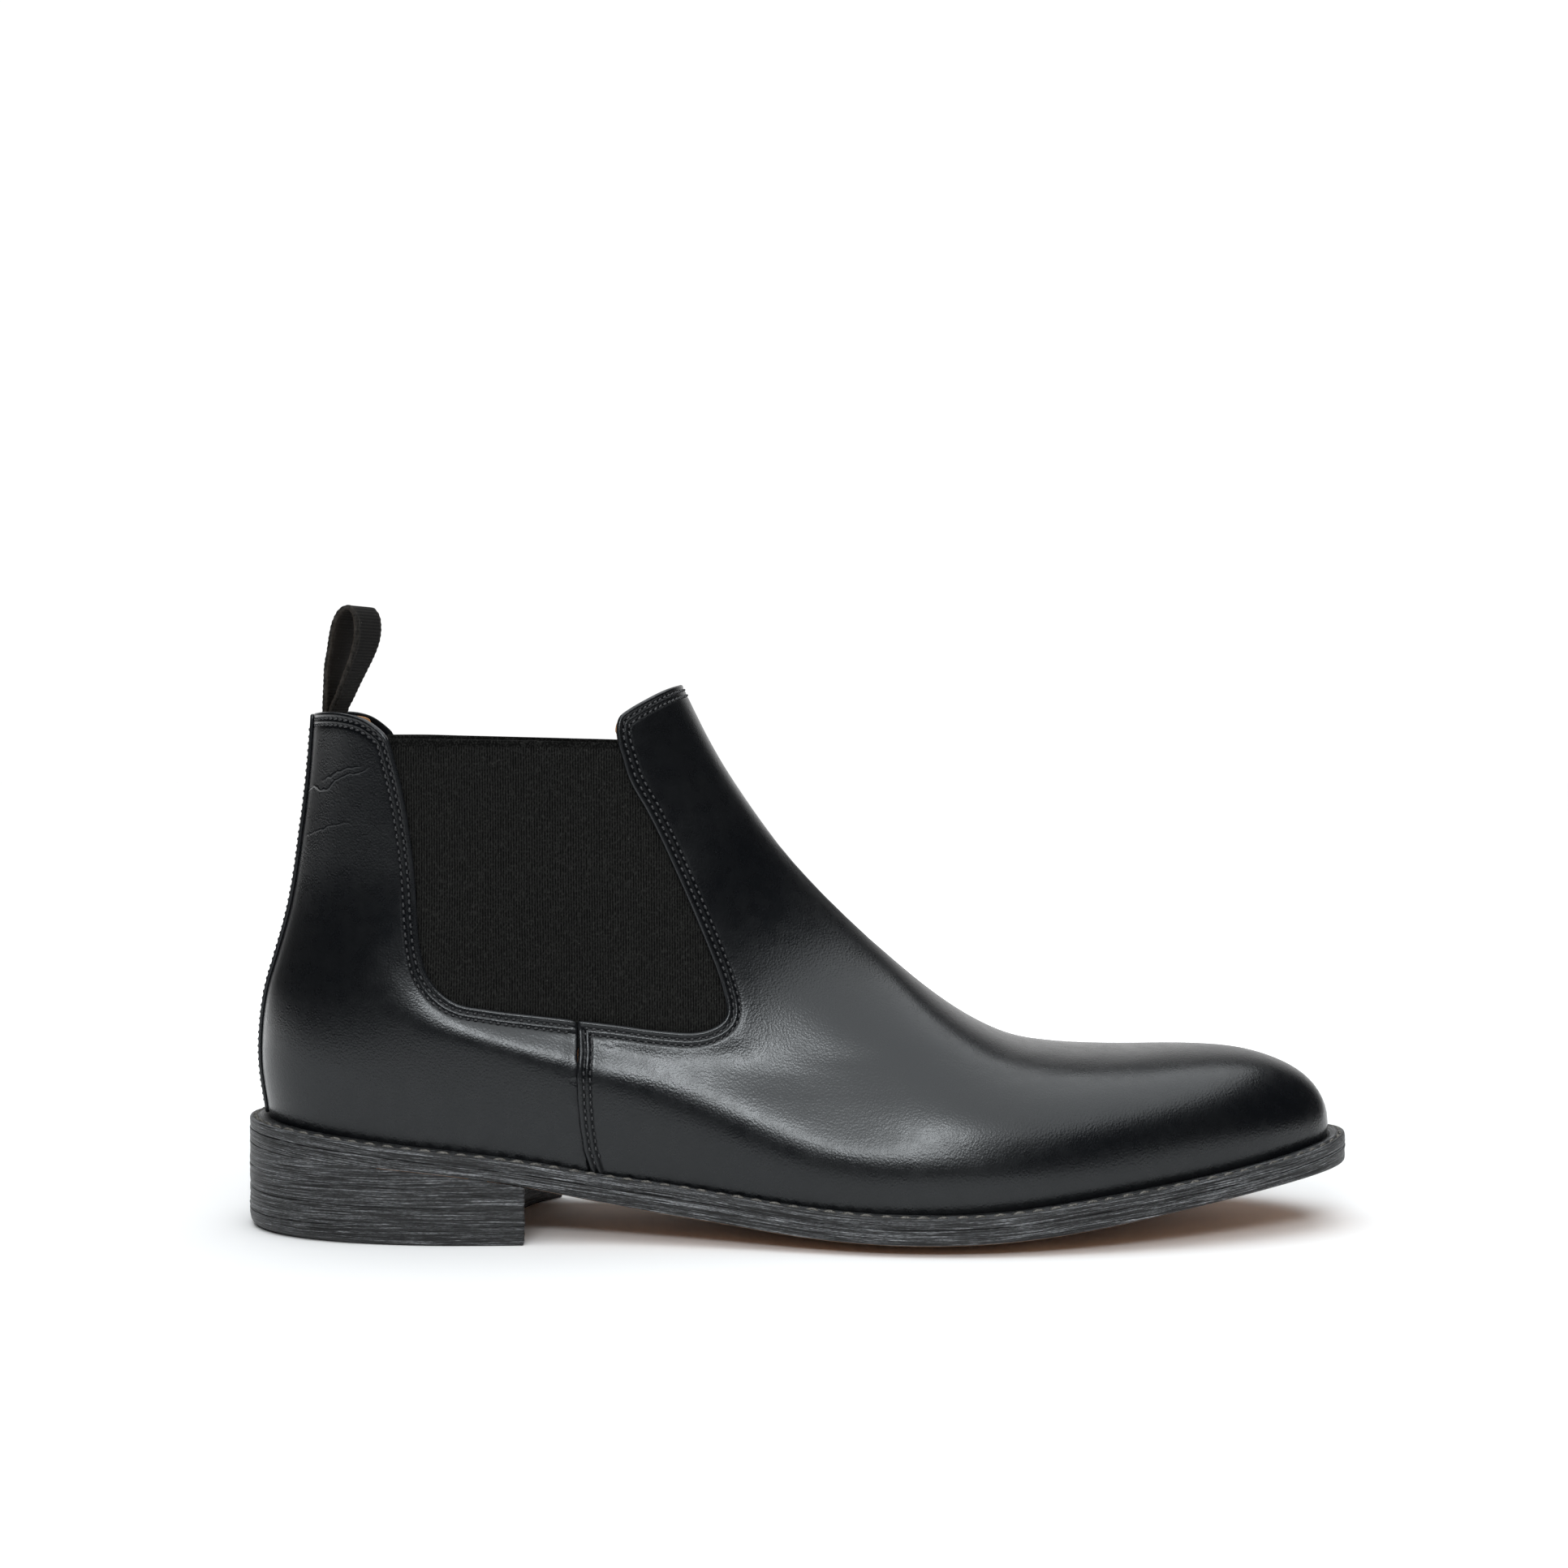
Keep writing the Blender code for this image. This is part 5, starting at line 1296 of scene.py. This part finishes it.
# the welt: a strip from the upper to the sole's edge, with a stitch channel near its outer edge
upper_loop = loop_at(0.0, -0.02, 900)
nearest = np.array([((upper_loop - p) ** 2).sum(1).argmin() for p in sole_loop])
inner_loop = blurred(upper_loop[nearest], 2.0, "wrap")
welt_out = outward(sole_loop)
sole_x, sole_y = sole_loop.T
profile = [  # (in from the edge, above the bottom); beyond the last the inner wall follows
    (0.3, 0.0), (0.08, 0.12), (0.0, 0.45), (0.0, 0.8), (0.0, 1.15), (0.0, 1.5), (0.0, 1.85), (0.0, 2.2),
    (0.03, 2.5), (0.12, 2.75), (0.3, 2.93), (0.55, 3.0), (0.85, 3.0), (1.05, 2.94), (1.25, 2.72),
    (1.5, 2.62), (1.75, 2.72), (1.95, 2.94), (2.2, 3.0), (2.7, 3.0),
]  # fmt: skip
verts, walls = [], []
for depth_in, rise in profile:
    level = np.full(len(sole_loop), rise - WELT)
    outer_wall = ease((0.2 - depth_in) / 0.2) * ease(rise / 0.3)
    p = sole_loop - welt_out * (depth_in - wall_relief(sole_x, sole_y, level) * outer_wall)[:, None]
    verts.append(np.column_stack([p, sole_top(sole_x) + level]))
    walls.append(np.column_stack([sole_loop, level + depth_in]))
for above in (0.15, -2.9):
    verts.append(np.column_stack([inner_loop, sole_top(inner_loop[:, 0]) + above]))
    walls.append(np.column_stack([sole_loop, np.full(len(sole_loop), 5.0 + above)]))
faces = strip_faces(len(verts), len(sole_loop), closed_columns=True, closed_rows=True)
welt = add_mesh("welt_leather", np.vstack(verts), faces, {"wall": np.vstack(walls)})
done(welt, STACK, "stacked_leather", "welt")

channel = sole_loop - welt_out * 1.5
channel = np.column_stack([channel, sole_top(channel[:, 0]) - 0.16])
channel = np.vstack([channel, channel[:3]])
up_line = np.column_stack([np.zeros((len(channel), 2)), np.ones(len(channel))])
cords = seam("welt_stitches", [(channel, up_line)], pitch=5.0, length=4.6, radius=0.55, seed=8, sink=0.3)
done(cords, WELT_CORD, "sole_leather")


# ---------------------------------------------------------------- heel
def heel_outline():
    """The heel's plan: the sole's outline behind a hollow breast."""
    breast = spline(BREAST, 61)
    edge = np.interp(sole_loop[:, 1], breast[:, 1], breast[:, 0])
    keep = sole_loop[:, 0] < edge - 0.6
    first = int(np.argmax(~keep))
    kept = np.roll(sole_loop, -first, axis=0)[np.roll(keep, -first)]
    ys = np.linspace(kept[-1, 1], kept[0, 1], 61)
    front = np.stack([np.interp(ys, breast[:, 1], breast[:, 0]), ys], axis=1)
    return blurred(resample(closed(np.vstack([kept, front])), 321)[:-1], 0.8, "wrap")


def lift_height(k, gap=0.0):
    """The top of lift k, counted from the top piece (0) to the sole."""
    return lambda x, y: TOP_PIECE + (sole_edge_bottom(x) - 0.02 - TOP_PIECE) * k / LIFTS + gap


def heel_level(x, y, z):
    return z


heel_plan = heel_outline()
for k in range(LIFTS):
    low, high = lift_height(k, 0.03), lift_height(k + 1)
    lift = slab(f"heel_lift_leather_{LIFTS - k}", heel_plan, low, high, heel_level, 12.0, 0.14, 0.14)
    done(lift, STACK_LIFT, "stacked_leather", f"heel_lift_{LIFTS - k}")


def worn_edge(x):
    """The top piece's lower edge is rounded more toward the back."""
    return 0.8 + 2.6 * ease((-92 - x) / 50)


NAILS = [f"heel_nail_{k}" for k in range(1, 6)]
nail_boxes = [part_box(name) for name in NAILS]
nail_spots = np.array([[(lo[k] + hi[k]) / 2 / MM - PLACE[k] for k in range(2)] for lo, hi in nail_boxes])
NAIL_HOLE = max(hi[0] - lo[0] for lo, hi in nail_boxes) / 2 / MM + 0.25  # radius
RECESS = 1.3  # its depth
circle = np.linspace(0, 2 * math.pi, 17)[:-1]
circle = np.stack([np.cos(circle), np.sin(circle)], axis=1)
nail_rings = np.vstack([spot + circle * r for spot in nail_spots for r in (NAIL_HOLE, NAIL_HOLE + 0.12)])


def tread_rubber(x, y):
    """The top piece's bottom, with a recess round every nail's head."""
    away = np.linalg.norm(np.stack([x, y], axis=1)[:, None] - nail_spots[None], axis=2).min(1)
    return np.where(away < NAIL_HOLE + 0.06, RECESS, 0.0)


top_piece = slab(
    "heel_top_piece_rubber",
    heel_plan,
    tread_rubber,
    lambda x, y: np.full(len(x), TOP_PIECE - 0.02),
    heel_level,
    6.0,
    worn_edge,
    0.14,
    detail=np.vstack([nail_rings, nail_spots]),
)
underside(done(top_piece, STACK_LIFT, "top_piece", "heel_top_piece"), RUBBER, 0.75)

# ---------------------------------------------------------------- inside the boot
sock_loop = loop_at(2.9, LINING_DEPTH + LINING + 0.2, 400)


def sock_top(x, y):
    """The sock follows the insole and turns up a little along its edge."""
    near = from_edge(x, y, sock_loop)
    return sole_top(x) + INSOLE + SOCK + 0.9 * (1 - ease(near / 6.0)) - 0.5 * ease(near / 30)


sock = slab("sock_leather", sock_loop, above_sole(2.2), sock_top, sole_level, 5.0, 0.1, 0.3, row=0.5)
done(sock, SOCK_TAN, "insole_leather", "sock_lining")

hidden = {"insole": BOARD, "toe_puff": FELT, "heel_counter": FELT, "cork_filler": cork("cork_crumb")}
hidden["shank"] = metal("shank_steel_brushed", rgb(0.5, 0.5, 0.52), 0.35)
hidden.update(dict.fromkeys(NAILS, metal("nail_brass", rgb(0.62, 0.48, 0.25), 0.35)))
for node, material in hidden.items():
    coat(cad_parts[node], material)


# ---------------------------------------------------------------- pull loop
WEFT, BRAID, EDGE_BRAIDED = 0.86, 1.5, 1.6  # pitch of the weft and of the edges' braid, and the edges' width


def tape(name, path, forward, width=WEB_WIDTH, thick=WEB_THICK, step=0.21):
    """Woven tape along a path in the side view; its far edge stands forward of its near one."""
    line = spline(path, 400)
    length = lengths(line)[-1]
    count = int(length / step)
    line = blurred(resample(line, count), 3)
    out = to_left(unit(np.gradient(line, axis=0)))
    run = np.linspace(0, length, count)
    lean = forward(line)
    half = width / 2 - thick / 2
    across = np.linspace(-half, half, 23)
    angle = np.linspace(-90, 90, 7)[1:-1]
    section = [(c, 1.0) for c in across]
    section += [(half + math.cos(math.radians(t)) * thick / 2, math.sin(math.radians(-t))) for t in angle]
    section += [(c, -1.0) for c in across[::-1]]
    section += [(-half - math.cos(math.radians(t)) * thick / 2, math.sin(math.radians(t))) for t in angle]
    section = np.array(section)
    c, side = section[:, 0], section[:, 1]
    edge = ease((np.abs(c) - half + EDGE_BRAIDED) / 0.4)
    weft = 0.5 + 0.5 * np.cos(2 * math.pi * run / WEFT)
    braid = 0.5 + 0.5 * np.cos(2 * math.pi * (run[:, None] / BRAID + np.sign(c)[None] * 0.25))
    relief = 0.10 * weft[:, None] * (1 - edge)[None] + (0.06 + 0.12 * braid) * edge[None]
    through = (side * thick / 2)[None] + np.sign(side)[None] * (relief - 0.08)
    x = line[:, 0:1] + out[:, 0:1] * through + c[None] / width * lean[:, None]
    z = line[:, 1:2] + out[:, 1:2] * through
    y = np.broadcast_to(c, x.shape)
    verts = np.stack([x, y, z], axis=-1).reshape(-1, 3)
    n = len(section)
    faces = [*strip_faces(count, n, closed_columns=True)[:, ::-1]]
    faces += [np.arange(n), count * n - 1 - np.arange(n)]
    values = {
        "weave": np.broadcast_to(weft[:, None], x.shape).ravel(),
        "selvedge": np.broadcast_to(edge[None], x.shape).ravel(),
        "inner": np.broadcast_to((side < 0).astype(float)[None], x.shape).ravel(),
    }
    return add_mesh(name, verts, faces, values)


def loop_lean(line):
    return 1.4 + 2.6 * ease((line[:, 1] - 142) / 26)


loop = tape("pull_loop_tape", LOOP_PATH, loop_lean)
done(loop, TAPE, "webbing", "pull_loop", body=None)
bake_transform(loop)

TAIL_LOW, TAIL_TOP = 122, 140.6
tail_heights = locate([(-133.5, z) for z in np.linspace(TAIL_LOW, TAIL_TOP, 12)])[:, 1]
for name, push in (("pull_loop_tail_rear", 0.9), ("pull_loop_tail_front", 2.35)):
    path = under(0.0, tail_heights, np.full(12, LEATHER + CLEARANCE + LINING + push))[:, [0, 2]]
    tail = tape(name, path, lambda line: np.full(len(line), 1.4))
    done(tail, TAPE, "webbing", "pull_loop_tails")

# ---------------------------------------------------------------- studio
camera_data = bpy.data.cameras.new("camera")
camera = add_object("camera", camera_data)
camera.location = (-0.004, -0.740, 0.1446)
camera.rotation_euler = (math.radians(90), 0, 0)
camera_data.lens = 60.8
camera_data.sensor_width = 36
camera_data.shift_y = -0.0526
camera_data.clip_start = 0.01
bpy.context.scene.camera = camera


def soft_light(name, place, aim, size, power):
    data = bpy.data.lights.new(name, "AREA")
    data.shape, data.size, data.size_y, data.energy = "RECTANGLE", *size, power
    data.color = (0.96, 0.985, 1.0)
    thing = add_object(name, data)
    thing.location = place
    thing.rotation_euler = (Vector(aim) - Vector(place)).to_track_quat("-Z", "Y").to_euler()


soft_light("overhead_softbox", (0.02, -0.55, 1.05), (0.02, -0.55, 0), (1.5, 2.7), 29)
soft_light("front_strip", (-0.09, -0.955, 0.58), (-0.05, 0, 0.05), (0.4, 0.14), 3.9)

# the sky is dim in front and bright behind the boot, and white to the camera
world = bpy.data.worlds.new("studio")
bpy.context.scene.world = world
sky = Finish(world, "Background", "Generated")
behind = sky.add("SeparateXYZ", {"Vector": sky.place}).outputs[1]
white = sky.add("LightPath").outputs["Is Camera Ray"]
strength = sky.add("Mix", {0: white, 2: sky.spread(behind, 0.7, 0.93, 0.04, 0.9), 3: 1.05}).outputs[0]
sky.set(Strength=strength, Color=grey(1))

# the paper glows white with painted light, more the further it lies from the boot; to everything but the
# camera it is painted shade in front of the boot, dark and without the glow
FLOOR = 4.0  # half its side, in metres
floor_mesh = bpy.data.meshes.new("floor")
corners = [(x * FLOOR, y * FLOOR, 0) for x, y in ((-1, -1), (1, -1), (1, 1), (-1, 1))]
floor_mesh.from_pydata(corners, [], [(0, 1, 2, 3)])
floor = add_object("floor", floor_mesh)
sweep = new_finish("floor_paper")
paper = sweep.tones(sweep.noise(6, 2), 0.3, 0.7, grey(0.9), grey(0.93))
across_floor = sweep.add("SeparateXYZ", {"Vector": sweep.place}).outputs
to_camera = sweep.add("LightPath").outputs["Is Camera Ray"]
# painted shade: the paper in front of the boot is dark grey to reflections and bounced light, pale to the
# camera
shade = sweep.math("MAXIMUM", sweep.spread(across_floor[1], -0.52, -0.29), to_camera)
sweep.set(Base_Color=sweep.mix(shade, grey(0.12), paper), Roughness=0.8, Specular_IOR_Level=0.2)
# painted light: the paper glows, from nothing close to the boot up to full strength further out, and to
# everything but the camera not in front of it
from_boot = sweep.add("VectorMath", {0: sweep.scaled(0.55, 1, 1)}, operation="LENGTH").outputs["Value"]
lit = sweep.math("MAXIMUM", sweep.spread(across_floor[1], -0.45, -0.1), to_camera)
glow = sweep.math("MULTIPLY", sweep.spread(from_boot, 0.16, 0.6), lit)
sweep.set(Emission_Color=grey(1), Emission_Strength=sweep.math("MULTIPLY", glow, 0.9))
floor_mesh.materials.append(sweep.owner)

scene = bpy.context.scene
scene.view_settings.view_transform = "Standard"
scene.view_settings.look = "None"

bpy.context.view_layer.update()
